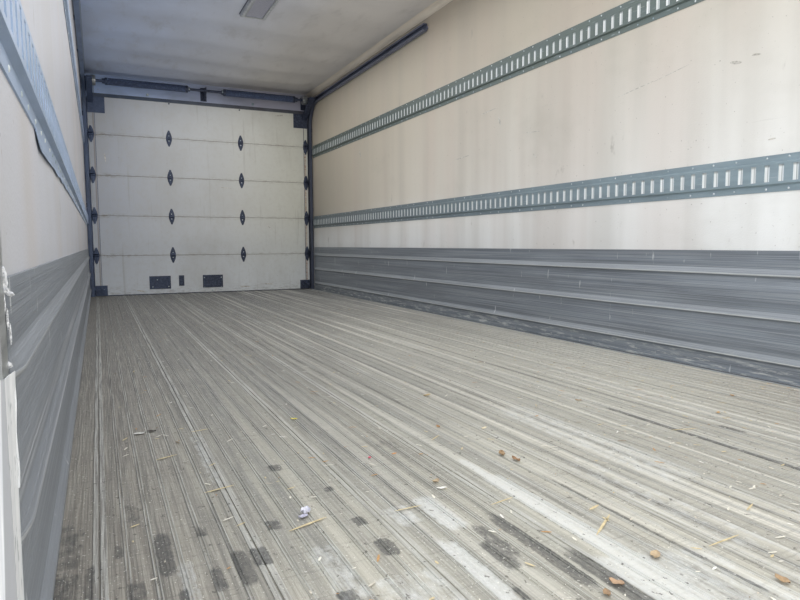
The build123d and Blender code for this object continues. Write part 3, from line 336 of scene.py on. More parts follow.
def heads(name, centres, radius, height, material, normal=(0, -1, 0), sides=6):
    """Low domed heads: a ring at the foot, one at 0.72 of the radius and 0.75 of the height, and a crown."""
    centres = np.asarray(centres, float)
    normal = np.asarray(normal, float)
    first = np.cross(normal, [0.31, 0.87, 0.39])
    first /= np.linalg.norm(first)
    angle = np.arange(sides)[:, None] * 2 * np.pi / sides
    ring = np.cos(angle) * first + np.sin(angle) * np.cross(normal, first)
    upper = ring * radius * 0.72 + normal * height * 0.75
    one = np.concatenate([ring * radius, upper, normal[None] * height])
    index = np.arange(sides)
    after = (index + 1) % sides
    walls = np.stack([index, after, after + sides, index + sides], 1)
    crown = np.stack([index + sides, after + sides, np.full(sides, 2 * sides)], 1)
    start = (np.arange(len(centres)) * (2 * sides + 1))[:, None, None]
    faces = (walls + start).reshape(-1, 4).tolist() + (crown + start).reshape(-1, 3).tolist()
    points = (centres[:, None] + one[None]).reshape(-1, 3)
    return solid(name, points, faces, material, smooth=True)


def grained(name, base, coat, cells, metres, relief=None, **sockets):
    """A material of one grain: its coat (colour, cover) follows it, and so does its height, unless that has a
    grain of its own."""
    material, tree, shader, place, x, y, z = new_material(name, **sockets)
    mask = grain(place, *cells)
    finish(shader, grain(place, *relief) if relief else mask, metres, base, (*coat, mask))
    return material


# Mill finish: drawn lines along the section, a cloudy grey film.
mill_aluminium, tree, shader, place, x, y, z = new_material("mill_aluminium", Metallic=0.8)
drawn = grain(place, (60, 3, 60), 0.3, 0.7, 5.0)
film = grain(place, (2, 1.2, 3), 0.35, 0.75)
coats = ("#BFC2C2", 1, drawn), ("#8B8A85", 0.5, film)
finish(shader, drawn, 0.0001, "#A9ACAD", *coats, Roughness=(film, 0, 1, 0.34, 0.6))
dress(mill_aluminium, "bottom_rails", "top_rails", "front_corner_posts", "front_corner_caps")
dress(mill_aluminium, "cable_drums", "side_door_frame")

# Zinc-plated rivets and bolts: half of them dulled.
bright_rivet = grained(
    "zinc_plated_rivet", "#8FA0A8", ("#E2E8EA", 1), (23, 0.4, 0.6), 0, Metallic=0.6, Roughness=0.35
)

rail_low, rail_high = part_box("bottom_rails")
top_rail_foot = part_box("top_rails")[0].z
rivet_margin, rivet_pitch = 0.12, 0.1
sill_front, sill_rear = -3.24, -2.16
along = np.arange(rail_low.y + rivet_margin, rail_high.y - rivet_margin, rivet_pitch)
# The bottom rail's rivets stop at the side doorway's sill.
beside_sill = along[(along < sill_front) | (along > sill_rear)]
for name, level, curb_along in (
    ("bottom_rail_rivets", rail_high.z - 0.026, beside_sill),
    ("top_rail_rivets", top_rail_foot + 0.03, along),
):
    for side, where, row in ((-1, "curb", curb_along), (1, "street", along)):
        centres = np.column_stack(np.broadcast_arrays(side * (rail_high.x - 0.0004), row, level))
        heads(f"{name}_{where}", centres, 0.0065, 0.0028, bright_rivet, (side, 0, 0))

# Walls. Foam panels with a gel-coated glass-fibre skin on both faces: gloss outside, and inside
# scuffed by pallets, with grey rub marks, small dark dabs and faint upright bands of old dirt.


def slivers(marks, level, axis, facing):
    """Pointed patches on a plane, from rows of both ends and the width, in mm. At share s of its length a
    patch reaches width * sqrt(s (1 - s)) to each side."""
    marks = np.asarray(marks, float)[:, None, None] / 1000
    s = np.array([0.02, 0.2, 0.5, 0.8, 0.98])[None, :, None, None]
    side = np.array([-1.0, 1.0])[None, None, :, None]
    start, run = marks[..., 0:2], marks[..., 2:4] - marks[..., 0:2]
    across = np.stack([-run[..., 1], run[..., 0]], -1) / np.linalg.norm(run, axis=-1, keepdims=True)
    flat = start + run * s + across * side * marks[..., 4:5] * np.sqrt(s * (1 - s))
    grid = np.full((*flat.shape[:3], 3), level, float)
    grid[..., [a for a in range(3) if a != axis]] = flat
    return list(grid if facing == (-1, 1, -1)[axis] else grid[:, :, ::-1])


wall_skin, tree, shader, place, x, y, z = new_material("glass_fibre_wall_skin")
bands = grain(place, (1.0, 4.5, 0.35), 0.4, 0.72, 3.0, 0.5)
rosy = grain(place, (1.0, 2.8, 0.3), 0.46, 0.7, 3.0, 0.5)
smudges = grain(place, (2.4, 1.3, 2.0), 0.48, 0.8, 5.0, 0.62)
dabs = grain(place, (13, 10, 5.5), 0.66, 0.76, 4.0, 0.6)
rubs = grain(place, (9, 1.6, 42), 0.66, 0.78, 5.0, 0.7)
specks = grain(place, 85, 0.7, 0.77, 2.0, 0.5)
inside = add(tree, "MapRange", add(tree, "Math", x, operation="ABSOLUTE"), 1.16, 1.15)
inner_face = layered(
    tree,
    "#EFF0EE",
    # Painted shade: darker and warmer towards the far end, less so low down.
    ("#D6CBB6", 0.9, (y, -1.6, 2.8), (z, 0.75, 1.15, 0.2, 1)),
    ("#87837A", 0.8, (y, 1.4, 3.9)),
    # Darker and warmer towards the top.
    ("#BCB29F", 0.86, (z, 1.0, 1.9)),
    # Painted shade: bluer and darker over the curb wall.
    ("#AEB0BA", 0.85, (x, 0.2, -0.2)),
    # Painted light: the street wall paler low down.
    ("#F8FAFA", 0.55, (z, 1.05, 0.8), (x, -0.2, 0.2)),
    ("#A8A297", 0.3, bands),
    ("#C6B2A6", 0.22, rosy),
    ("#A3A193", 0.34, smudges),
    ("#96928C", 0.25, rubs),
    ("#8C877F", 0.42, dabs),
    ("#6E675E", 0.45, specks),
)
weave = grain(place, 160, 0.3, 0.7, 2.0)
waves = grain(place, (1.1, 1.7, 1.3), 0.3, 0.7, 2.0)
relief = add(tree, "Math", add(tree, "Math", weave, 0.06, operation="MULTIPLY"), waves)
finish(shader, relief, 0.003, "#E4E5E4", (inner_face, 1, inside), Roughness=(inside, 0, 1, 0.24, 0.52))
dress(wall_skin, "street_wall", "curb_wall", "front_wall", "floor_insulation")

# Scratches and dabs where loads have struck the street wall: Y, Z of both ends, and width, in mm.
wall_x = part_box("street_wall")[0].x
wall_scratches = [
    [-643, 1424, -860, 1450, 4.2], [-850, 1446, -1036, 1474, 3], [-1212, 1434, -1261, 1424, 12],
    [-1291, 1441, -1337, 1433, 7], [38, 1376, -110, 1363, 4], [-44, 1253, -79, 1229, 8],
    [285, 1507, 262, 1455, 16], [780, 1319, 595, 1328, 5], [480, 1552, 300, 1562, 5],
    [2450, 1600, 2420, 1540, 20], [-1374, 1131, -1403, 1133, 6],
]
rub_mark = grained(
    "rub_mark_on_gel_coat", "#A39F96", ("#D8D5CD", 1), (60, 0.35, 0.65, 4.0, 0.7), 0.0002, Roughness=0.6
)
surface("wall_rub_marks", slivers(wall_scratches, wall_x - 0.0004, 0, -1), rub_mark)

# Scuff liners. Rolled aluminium sheet as high as a pallet's side, with three rolled ribs. Loads have
# brushed it into fine dark and pale streaks, and wash water has left white bloom along its foot.


def from_nearest(axis, first, step):
    """How far a coordinate is past the nearest of the lines first + n * step, in steps from -0.5 to 0.5."""
    tree = axis.id_data
    turn = add(tree, "Math", add(tree, "Math", axis, -first), 1 / step, operation="MULTIPLY")
    return add(tree, "Math", turn, add(tree, "Math", turn, operation="ROUND"), operation="SUBTRACT")


def apart(axis, middle):
    """How far a coordinate is from a value, on either side."""
    return add(axis.id_data, "Math", add(axis.id_data, "Math", axis, -middle), operation="ABSOLUTE")


scuffed_sheet, tree, shader, place, x, y, z = new_material("scuffed_aluminium_sheet", Metallic=0.3)
rib_first, rib_step = 0.068, 0.152
from_rib = from_nearest(z, floor_top + rib_first, rib_step)
lit_slope, above = (from_rib, 0.145, 0.125), (from_rib, 0.005, 0.02)
worn_glint_top, worn_glint_foot = (from_rib, 0.014, 0.007), (from_rib, -0.022, -0.013)
bands = grain(place, (1, 0.16, 20), 0.32, 0.7, 4.0, 0.55)
patches = grain(place, (1, 1.4, 9), 0.42, 0.66, 4.0, 0.6)
scrapes = grain(place, (20, 0.8, 260), 0.38, 0.7, 5.0, 0.65)
dark_scrapes = grain(place, (20, 1.1, 190), 0.48, 0.72, 5.0, 0.65)
bright = grain(place, (20, 0.6, 110), 0.6, 0.72, 6.0, 0.7)
nicks = grain(place, (40, 38, 9), 0.69, 0.74, 3.0, 0.5)
frost = grain(place, (30, 8, 70), 0.5, 0.64, 5.0, 0.75)
curb = x, 0.2, -0.2
finish(
    shader,
    add(tree, "Math", scrapes, nicks),
    0.0004,
    "#7B838C",
    ("#9DA6B1", 1, bands),
    ("#666D76", 0.45, patches),
    # Painted shade: darker towards the far end.
    ("#6E7175", 0.55, (y, -1.6, 2.6)),
    ("#C3C8CC", 0.5, scrapes),
    ("#4F555D", 0.5, dark_scrapes),
    # Painted light on each rib's upper slope, and on its nose a painted highlight over metal worn bright.
    ("#B4B8BA", 0.28, lit_slope, above),
    ("#E6E8E8", 0.75, worn_glint_top, worn_glint_foot),
    ("#D3D7DA", 0.55, bright),
    ("#DCDEDA", 0.8, frost, (z, floor_top + 0.085, floor_top + 0.02)),
    # Painted shade: darker and bluer on the curb side.
    ("#7B8089", 0.65, curb),
    ("#C9CCD2", 0.6, scrapes, curb, (apart(z, 0.5475), 0.018, 0.01)),
    ("#C9CCD2", 0.5, scrapes, curb, (apart(z, 0.5025), 0.013, 0.008)),
    ("#DDE0E2", 0.6, nicks),
    Roughness=(scrapes, 0, 1, 0.38, 0.6),
)

liner_low, liner_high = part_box("scuff_liners")
liner_gauge, liner_height, liner_back = 0.003, 0.4585, 0.0004
doorway_front, doorway_rear = -3.1945, -2.2005
# One rib in mm, as (height from its middle, how far it stands off): a long slope above a blunt nose.
rib_shape = [[-11, 0], [-9.6, 1.0], [-4.5, 6.3], [-2.6, 8.2], [-0.8, 8.9], [1.2, 8.9], [3.2, 8.2], [8, 6.0]]
rib_shape = np.array([*rib_shape, [18, 1.3], [21, 0]]) / 1000
rib_z = (np.arange(3)[:, None] * rib_step + rib_first + rib_shape[:, 0]).ravel()
liner_z = floor_top + np.r_[0, 0, rib_z, liner_height, liner_height]
rib_off = liner_gauge + np.tile(rib_shape[:, 1], 3)
liner_off = np.r_[liner_back, liner_gauge, rib_off, liner_gauge, liner_back]
for name, side, start, end, doorway in (
    ("scuff_liner_street", 1, liner_low.y, liner_high.y, None),
    ("scuff_liner_curb_rear", -1, doorway_rear, liner_high.y, doorway_rear),
    ("scuff_liner_curb_front", -1, liner_low.y, doorway_front, doorway_front),
):
    stations = np.linspace(start + 0.0004, end - 0.0004, max(8, int((end - start) / 0.1)))
    flat = 1.0
    if doorway is not None:
        # Ribs are hammered flat over the last 45 mm at a doorway: they stand off by sqrt(distance / 45 mm).
        hemmed = doorway + np.array([0.004, 0.012, 0.024, 0.036, 0.05]) * (1 if doorway == start else -1)
        stations = np.sort(np.r_[stations, hemmed])
        flat = np.sqrt(np.clip(np.abs(stations - doorway) / 0.045, 0, 1))[:, None]
    grid = np.zeros((len(stations), len(liner_z), 3))
    off = np.minimum(liner_off, liner_gauge) + flat * np.maximum(liner_off - liner_gauge, 0)
    grid[:, :, 0] = side * (wall_x - off)
    grid[:, :, 1] = stations[:, None]
    grid[:, :, 2] = liner_z
    # The sheet buckles a little: 0.5 mm in slow waves, always off the wall.
    grid[:, 1:-1, 0] -= side * 0.00025 * (1 + np.sin(5.1 * grid[:, 1:-1, 1] + 31 * grid[:, 1:-1, 2]))
    piece = surface(name, for_side(grid, side), scuffed_sheet, closed=True)
    if side > 0:
        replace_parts(piece, "scuff_liners")

# Lashing rails. Galvanised strip, roll-formed to a shallow hat and punched with upright slots, riveted
# to the wall through both flanges. A pale strip behind each web closes the slots. Pallets have bent
# the curb-side flanges.

zinc = {"Metallic": 0.35, "Roughness": 0.45}
rail_zinc, tree, shader, place, x, y, z = new_material("galvanised_rail_strip", **zinc)
dull = grain(place, (30, 4, 30), 0.35, 0.7, 5.0)
chalk = grain(place, (90, 20, 160), 0.6, 0.75, 4.0)
finish(
    shader,
    dull,
    0.0002,
    "#9DB0B9",
    # Painted shade: darker towards the far end.
    ("#727C7F", 1, (y, -2.0, 2.6)),
    # Darker and greener on the upper rail.
    ("#5D6861", 0.9, (z, 1.3, 1.6)),
    # Painted light: the curb-side rails paler and bluer all along.
    ("#9DAFCB", 0.95, (x, 0.2, -0.2)),
    ("#67757C", 0.3, dull),
    ("#C4CED2", 0.35, chalk),
)
dress(rail_zinc, "lashing_tracks_street", "lashing_tracks_curb")

# Pale filler strip behind the slots, with painted shade left of each slot's middle, a painted dark line
# beside it, painted shadow under each slot's top edge, and painted shade on the curb side.
slot_strip, tree, shader, place, x, y, z = new_material("slot_filler_strip", Roughness=0.6)
street_low, street_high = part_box("lashing_tracks_street")
curb_low, curb_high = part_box("lashing_tracks_curb")
slot_pitch = 0.0508
slots = int((street_high.y - street_low.y - slot_pitch) / slot_pitch) + 1
first_slot = (street_low.y + street_high.y - (slots - 1) * slot_pitch) / 2
lower_level, upper_level = 0.726, 1.474
rail_levels = floor_top + np.array([lower_level, upper_level])
from_slot = from_nearest(y, first_slot, slot_pitch)
from_level = from_nearest(z, rail_levels[0], upper_level - lower_level)
finish(
    shader,
    None,
    0,
    "#F4F7F7",
    ("#B9C5CB", 0.5, (from_slot, -0.02, -0.07)),
    ("#5F6C73", 0.75, (from_slot, -0.075, -0.05), (from_slot, 0.0, -0.02)),
    ("#6C777C", 0.8, (from_level, 0.026, 0.034)),
    ("#C9CDCB", 0.5, grain(place, (3, 60, 3), 0.4, 0.6)),
    ("#8A99B2", 0.65, (x, 0.2, -0.2)),
)
rail_depth, rail_gauge, rivet_line, flange_edge = 0.012, 0.0026, 0.0535, 0.0595
strip_face = wall_x - rail_depth + rail_gauge
strip_back, strip_half = strip_face + 0.0012, 0.034
flange_z = np.r_[rail_levels - rivet_line, rail_levels + rivet_line]
for where, side, start, end in (
    ("street", 1, street_low.y, street_high.y),
    ("curb", -1, curb_low.y, curb_high.y),
):
    corners = np.array([[strip_face, -1], [strip_face, 1], [strip_back, 1], [strip_back, -1]])
    corners = corners * [side, strip_half]
    ends = [start + 0.001, end - 0.001]
    strips = [for_side(carried(corners + [0, level], 1, ends), -side) for level in rail_levels]
    surface("slot_strips_" + where, strips, slot_strip, closed=True)
    along, level = np.meshgrid(np.arange(start + 0.05, end - 0.03, 2 * slot_pitch), flange_z, indexing="ij")
    rows = np.column_stack(np.broadcast_arrays(side * (wall_x - 0.0025), along.ravel(), level.ravel()))
    rows[:, 1] += 0.012 * np.sin(37 * rows[:, 1] + 5 * rows[:, 2])
    heads("rail_rivets_" + where, rows, 0.0042, 0.0016, bright_rivet, (-side, 0, 0))

# Bent flanges. The lower edge hangs drop * exp(-decay * run) below the rail, dying out from its start,
# plus waves; the lip leans off the wall by a tenth of that, more towards its edge.
for name, middle, start, end, drop, decay, ripple in (
    ("bent_lip_lower", lower_level, -1.74, 2.9, 0.026, 1.6, 0.0035),
    ("bent_lip_upper", upper_level, -1.9, 3.3, 0.004, 0.5, 0.0045),
):
    along = np.linspace(start, end, 150)[:, None]
    hang = drop * np.exp(-(along - start) * decay) * np.clip((along - start) / 0.05, 0, 1)
    hang = hang + ripple * (1 + np.sin(21 * along + 2 * np.sin(6.3 * along)) * np.cos(3.1 * along))
    t = np.array([[0.0, 0.35, 0.7, 1.0]])
    height = floor_top + middle - flange_edge - t * (hang + 0.004)
    off = -wall_x + 0.0028 + 0.10 * hang * t**2
    front = np.stack([off, along + 0 * t, height], -1)
    grid = np.concatenate([front, front[:, ::-1] - [0.0012, 0, 0]], 1)
    surface(name, grid, rail_zinc, closed=True)

# Ceiling. A thin white skin glued under the roof foam; over the years it has let go in places and
# hangs in shallow sags from wall to wall.

ceiling_skin, tree, shader, place, x, y, z = new_material("ceiling_skin", Roughness=0.5)
roof_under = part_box("roof_panel")[0].z
cloud = grain(place, (1.8, 1.1, 1), 0.35, 0.72, 5.0)
sooty = grain(place, (8, 3, 8), 0.5, 0.75, 5.0, 0.65)
finish(
    shader,
    sooty,
    0.0006,
    # Painted light: a bluer, paler base shows towards the curb side.
    "#C2D8FF",
    ("#D6D3D0", 1, (x, -0.9, 0.5)),
    # Painted shade: darker towards the far end.
    ("#B5AFA8", 0.3, (y, -1.0, 3.4)),
    ("#A5A29E", 0.3, cloud),
    ("#8B8884", 0.28, sooty),
    ("#DFE0DF", 1, (z, roof_under + 0.02, roof_under + 0.03)),
)
dress(ceiling_skin, "roof_panel")

lights_low, lights_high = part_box("dome_lights")
light_x = (lights_low.x + lights_high.x) / 2
light_y = lights_high.y - 0.23
half_span = 1.07
across, along = np.meshgrid(np.linspace(-half_span, half_span, 45), np.linspace(-3.84, 3.70, 241))
# Sag below the panel: 14 mm at mid width, flat at the walls and round the lights, in waves 0.46 m long.
bend = 1.1 * np.sin(1.7 * along) + 0.9 * np.sin(2.6 * across + along)
wave = 0.5 + 0.5 * np.sin(2 * np.pi * along / 0.46 + bend)
slow = 0.75 + 0.25 * np.sin(0.9 * along + 0.5 * across) + 0.5 * np.clip((along - 1.6) / 1.6, 0, 1)
held = 1 - np.exp(-(((across - light_x) / 0.17) ** 2) - ((np.abs(along) - light_y) / 0.34) ** 4)
sag = 0.0012 + 0.0128 * np.clip(1 - np.abs(across / half_span) ** 4, 0, 1) * wave**1.5 * slow * held
grid = np.stack([across, along, roof_under - sag], -1)[:, ::-1]
surface("ceiling_liner", grid, ceiling_skin, smooth=True)

# Cove mouldings. Vinyl trim in the corner of wall and ceiling: a hollow curve between two lips, its
# edges wavy where the adhesive has let go.

cove_vinyl, tree, shader, place, x, y, z = new_material("cove_vinyl", Roughness=0.45)
soot = grain(place, (20, 2, 20), 0.4, 0.75, 5.0)
lower_lip_shade = z, roof_under - 0.040, roof_under - 0.0425
# Painted shade: bluer and darker on the curb side, where the base shows, and a painted shadow along the lower
# lip.
coats = ("#E0D6C6", 1, (x, -0.5, 0.5)), ("#7E7A76", 0.35, soot), ("#4F4F52", 0.7, lower_lip_shade)
finish(shader, soot, 0.0003, "#93A1B6", *coats)
cove_low, cove_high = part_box("cove_mouldings")
# Face, as (off the wall, down from the ceiling): straight from lip to lip, hollowed by 5 mm * sin(pi t).
cove_reach, cove_lip, cove_back = 0.0445, 0.0025, 0.0003
t = np.linspace(0, 1, 9)
hollow = 0.005 * np.sin(np.pi * t)
face = np.stack([cove_reach * t - hollow, cove_reach * (1 - t) - hollow], 1)[1:-1]
wall_side = [[cove_back, cove_reach], [cove_lip, cove_reach]]
roof_side = [[cove_reach, cove_lip], [cove_reach, cove_back], [cove_back, cove_back]]
face = np.concatenate([wall_side, face, roof_side])
along = np.linspace(cove_low.y + 0.001, cove_high.y - 0.001, 190)[:, None]
coves = []
for side in (1, -1):
    shrink = 1 - 0.07 * (0.5 + 0.5 * np.sin(9.0 * along + 1.7 * np.sin(3.3 * along + side)))
    off = side * (wall_x - face[None, :, 0]) + 0 * along
    grid = np.stack([off, along + 0 * off, roof_under - face[None, :, 1] * shrink], -1)
    coves.append(for_side(grid, -side))
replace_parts(surface("ceiling_coves", coves, cove_vinyl, closed=True), "cove_mouldings")

# Dome lights. Pressed aluminium trays with a rolled rim, a grey rubber line round the foot, and a
# fluted grey polycarbonate lens.


def slabs(name, rows, bevel, material):
    """Bevelled blocks from rows of middle and half sizes: a corner is three points, each inset by the bevel
    on two axes, and each of the 26 directions (i, j, k) from -1 to 1 has a face through the points that lie
    furthest along it."""
    rows = np.asarray(rows, float)
    signs = np.array(np.meshgrid((-1, 1), (-1, 1), (-1, 1), indexing="ij")).reshape(3, 8).T
    points = rows[:, None, None, :3] + signs[:, None] * (rows[:, None, None, 3:] - bevel * (1 - np.eye(3)))
    unit = (signs[:, None] * (0.8 + 0.2 * np.eye(3))).reshape(-1, 3)
    faces = []
    for facing in np.delete(np.array(np.meshgrid(*[(-1, 0, 1)] * 3)).reshape(3, 27).T, 13, 0):
        loop = np.flatnonzero(unit @ facing > (unit @ facing).max() - 0.01)
        arm = unit[loop] - unit[loop].mean(0)
        faces.append(loop[np.argsort(np.arctan2(np.cross(arm[0], arm) @ facing, arm @ arm[0]))])
    every = [(loop + 24 * i).tolist() for i in range(len(rows)) for loop in faces]
    return solid(name, points.reshape(-1, 3), every, material)


# Pressed tray: grey aluminium, a little oxidised.
tray = "pressed_aluminium_tray", "#A9AEB4", ("#C4C8CC", 1), (40, 0.35, 0.7), 0.0001
dress(grained(*tray, Metallic=0.4, Roughness=0.4), "dome_lights")

# Prismatic lens: flutes 8 mm apart across the light, a mauve tint from age.
grey_lens, tree, shader, place, x, y, z = new_material("fluted_polycarbonate_lens", Roughness=0.25)
flutes = add(tree, "TexWave", place, 2 * np.pi / 0.008 / 20, 0.2, out=1, bands_direction="Y")
finish(shader, flutes, 0.001, "#8A8B9C", ("#B0B2BE", 1, flutes))
dress(grey_lens, "dome_lenses")

powder, pores = (12, 0.4, 0.75), (300, 0.3, 0.7)
black_rubber = grained("black_rubber", "#232529", ("#4D4F52", 1), powder, 0.0002, pores, Roughness=0.65)
dress(black_rubber, "dock_bumpers", "side_door_gasket")

grey_rubber, tree, shader, place, x, y, z = new_material("aged_grey_rubber", Roughness=0.6)
powder = grain(place, 9, 0.35, 0.7)
# Painted light: a bluer cast towards the curb side.
finish(shader, powder, 0.0003, "#48566C", ("#4F4F55", 1, (x, -0.6, 0.6)), ("#6C737F", 0.45, powder))
dress(grey_rubber, "door_seals")

foot_z, rim_z, foot_half, rim_half = roof_under - 0.004, lights_low.z + 0.001, 0.002, 0.0022
foot_rows, rim_rows = [], []
for y in (-light_y, light_y):
    for s in (-1, 1):
        foot_rows += [
            [light_x + s * 0.0915, y, foot_z, foot_half, 0.234, 0.003],
            [light_x, y + s * 0.2315, foot_z, 0.0895, foot_half, 0.003],
        ]
        rim_rows += [
            [light_x + s * 0.062, y, rim_z, rim_half, 0.203, rim_half],
            [light_x, y + s * 0.202, rim_z, 0.0598, rim_half, rim_half],
        ]
slabs("dome_light_gaskets", foot_rows, 0.0008, grey_rubber)
slabs("dome_light_rims", rim_rows, 0.0008, mill_aluminium)

# Rear frame and header. Welded steel, painted blue-grey inside; a bolted strip of rubber seals the
# door's top edge, and outside the posts are zinc.

frame_paint, tree, shader, place, x, y, z = new_material("painted_rear_frame", Roughness=0.5)
rear_low, rear_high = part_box("rear_frame")
soil = grain(place, (3, 3, 9), 0.38, 0.72, 5.0)
rust = grain(place, 20, 0.62, 0.75, 5.0, 0.7)
finish(
    shader,
    soil,
    0.0003,
    # Painted light: bluer and paler towards the curb side.
    "#B8D0F8",
    ("#B0B0C0", 1, (x, -0.9, 0.6)),
    ("#6C6F7A", 0.35, soil),
    ("#C9CCCD", 1, (y, rear_low.y + 0.006, rear_low.y + 0.012)),
    ("#7A5A42", 0.5, rust),
)
dress(frame_paint, "rear_frame")

header_y = rear_low.y
seal_rows = [[0, header_y - 0.003, 2.1865, 1.045, 0.003, 0.0185]]
slabs("header_seal", seal_rows, 0.0012, grey_rubber)
bolts = [[-0.527, header_y, 2.232], [0.496, header_y, 2.232]]
heads("header_bolts", bolts, 0.013, 0.006, bright_rivet, sides=12)

# Outside: a drip strip over the doorway.
drip_rows = [[0, rear_high.y - 0.004, rear_high.z - 0.022, 1.20, 0.003, 0.003]]
slabs("header_drip_strip", drip_rows, 0.001, mill_aluminium)

# Counterbalance. A shaft in three bearings, with oil-tempered springs wound of 7 mm wire, cast winding
# cones, drums and wire cables that lift the door.


def turned(profile, centre, axis, sides):
    """A profile (along, radius) swung round a line through the centre: radius * cos and sin of the angle."""
    profile = np.asarray(profile, float)
    angle = np.linspace(0, 2 * np.pi, sides, endpoint=False)
    one, two = [(1, 2), (2, 0), (0, 1)][axis]
    grid = np.zeros((len(profile), sides, 3))
    grid[:, :, axis] = profile[:, :1]
    grid[:, :, one] = profile[:, 1:] * np.cos(angle)
    grid[:, :, two] = profile[:, 1:] * np.sin(angle)
    return grid + centre


def twins(grid):
    """A grid and its mirror image on the curb side, both facing outwards."""
    return [grid, grid[:, ::-1] * [-1, 1, 1]]


# Dark, worn zinc fittings: blue-grey where daylight reaches them, rust at the edges.
fitting_steel, tree, shader, place, x, y, z = new_material("dark_fitting_steel", Metallic=0.3, Roughness=0.5)
worn = grain(place, 50, 0.4, 0.7, 4.0)
rust = grain(place, 24, 0.6, 0.74, 5.0, 0.7)
coats = ("#4B5468", 0.8, worn), ("#5B6F93", 0.3, (x, -0.2, -1.0)), ("#5F4636", 0.4, rust)
finish(shader, worn, 0.0004, "#30374A", *coats)
dress(fitting_steel, "bottom_brackets", "top_brackets", "counterbalance_shaft", "lift_cables")
dress(fitting_steel, "shaft_brackets", "grip_plates", "door_latch", "rollers")

# Oil-tempered spring wire: near black, with a dull blue sheen.
spring_wire = grained(
    "oil_tempered_spring_wire", "#46526E", ("#5C6B8C", 1), (60, 0.4, 0.7), 0.0002, Roughness=0.6
)
spring_low, spring_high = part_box("torsion_springs")
shaft_y, shaft_z = (spring_low.y + spring_high.y) / 2, (spring_low.z + spring_high.z) / 2
shaft_centre = (0, shaft_y, shaft_z)
wire, coil_pitch, inner_end = 0.0034, 0.0076, 0.190
coil_radius = (spring_high.z - spring_low.z) / 2 - wire
turns = (spring_high.x - inner_end - 2 * wire) / coil_pitch
angle = np.linspace(0, 2 * np.pi * turns, int(14 * turns))[:, None]
ring = np.linspace(0, 2 * np.pi, 5, endpoint=False)[None]
# Helix: x grows by the pitch each turn; the wire's ring lies across it, radius out and x along.
out = coil_radius + wire * np.cos(ring)
run = inner_end + wire + coil_pitch * angle / (2 * np.pi) + wire * np.sin(ring)
helix = np.stack([run, shaft_y + out * np.cos(angle), shaft_z + out * np.sin(angle)], -1)
springs = twins(helix[:, ::-1])
springs = surface("counterbalance_springs", springs, spring_wire, smooth=True, closed=True)
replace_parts(springs, "torsion_springs")

# Winding cones at the middle, plain cones at the drums: a stepped hub with a flange into the coil.
bore, flange, hub = 0.0128, 0.033, 0.022
middle_cone = [[0.150, bore], [0.150, 0.021], [0.166, hub], [0.170, flange], [0.190, flange], [0.190, bore]]
outer_cone = [[0.880, bore], [0.880, flange], [0.900, flange], [0.906, 0.024], [0.928, hub], [0.928, bore]]
cones = [grid for cone in (middle_cone, outer_cone) for grid in twins(turned(cone, shaft_centre, 0, 20))]
surface("winding_cones", cones, fitting_steel, closed=True)
cone_bolts = [[s * 0.159, shaft_y - 0.0215, shaft_z + dz] for s in (-1, 1) for dz in (-0.006, 0.008)]
cone_bolts += [[0.02, header_y - 0.004, 2.314], [-0.02, header_y - 0.004, 2.314]]
heads("winding_cone_bolts", cone_bolts, 0.0065, 0.004, bright_rivet)
# Cable lies on each drum in seven grooves.
drum_low, drum_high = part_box("cable_drums")
drum_radius = (drum_high.z - drum_low.z) / 2
hoop = np.array([[-0.0018, -0.001], [-0.001, 0.001], [0.001, 0.001], [0.0018, -0.001]])
wraps = []
for groove_x in drum_high.x - 0.006 - 0.0044 * np.arange(7):
    wraps += twins(turned(hoop + [groove_x, drum_radius], shaft_centre, 0, 20))
surface("drum_cable_wraps", wraps, galvanised, closed=True)

# Door tracks. Rolled C section with a 254 mm bend under the ceiling, hung on tabs from wall and roof,
# greased and dirty; the curb side catches daylight.

track_zinc, tree, shader, place, x, y, z = new_material("greased_track_zinc", Metallic=0.3, Roughness=0.45)
grease = grain(place, (9, 5, 6), 0.4, 0.7, 5.0, 0.6)
level_run, curb = (y, 3.6, 3.3), (x, 0.1, -0.1)
finish(
    shader,
    grease,
    0.0003,
    "#444A5A",
    # Painted light: the level runs lighter than the upright runs, and the curb side bluer and paler in
    # painted daylight.
    ("#7A8095", 0.7, level_run),
    ("#4B5A76", 0.8, curb),
    ("#8EA3C4", 0.5, curb, level_run),
    ("#2E3038", 0.4, grease),
)
dress(track_zinc, "door_tracks")

# Rear door. Five foam-filled sections with painted steel skins; off-white inside, with grime in the
# seams, rust at the hinges and down the right-hand edge, and grey stains at the bottom. Outside there
# is a pull handle and hasp.

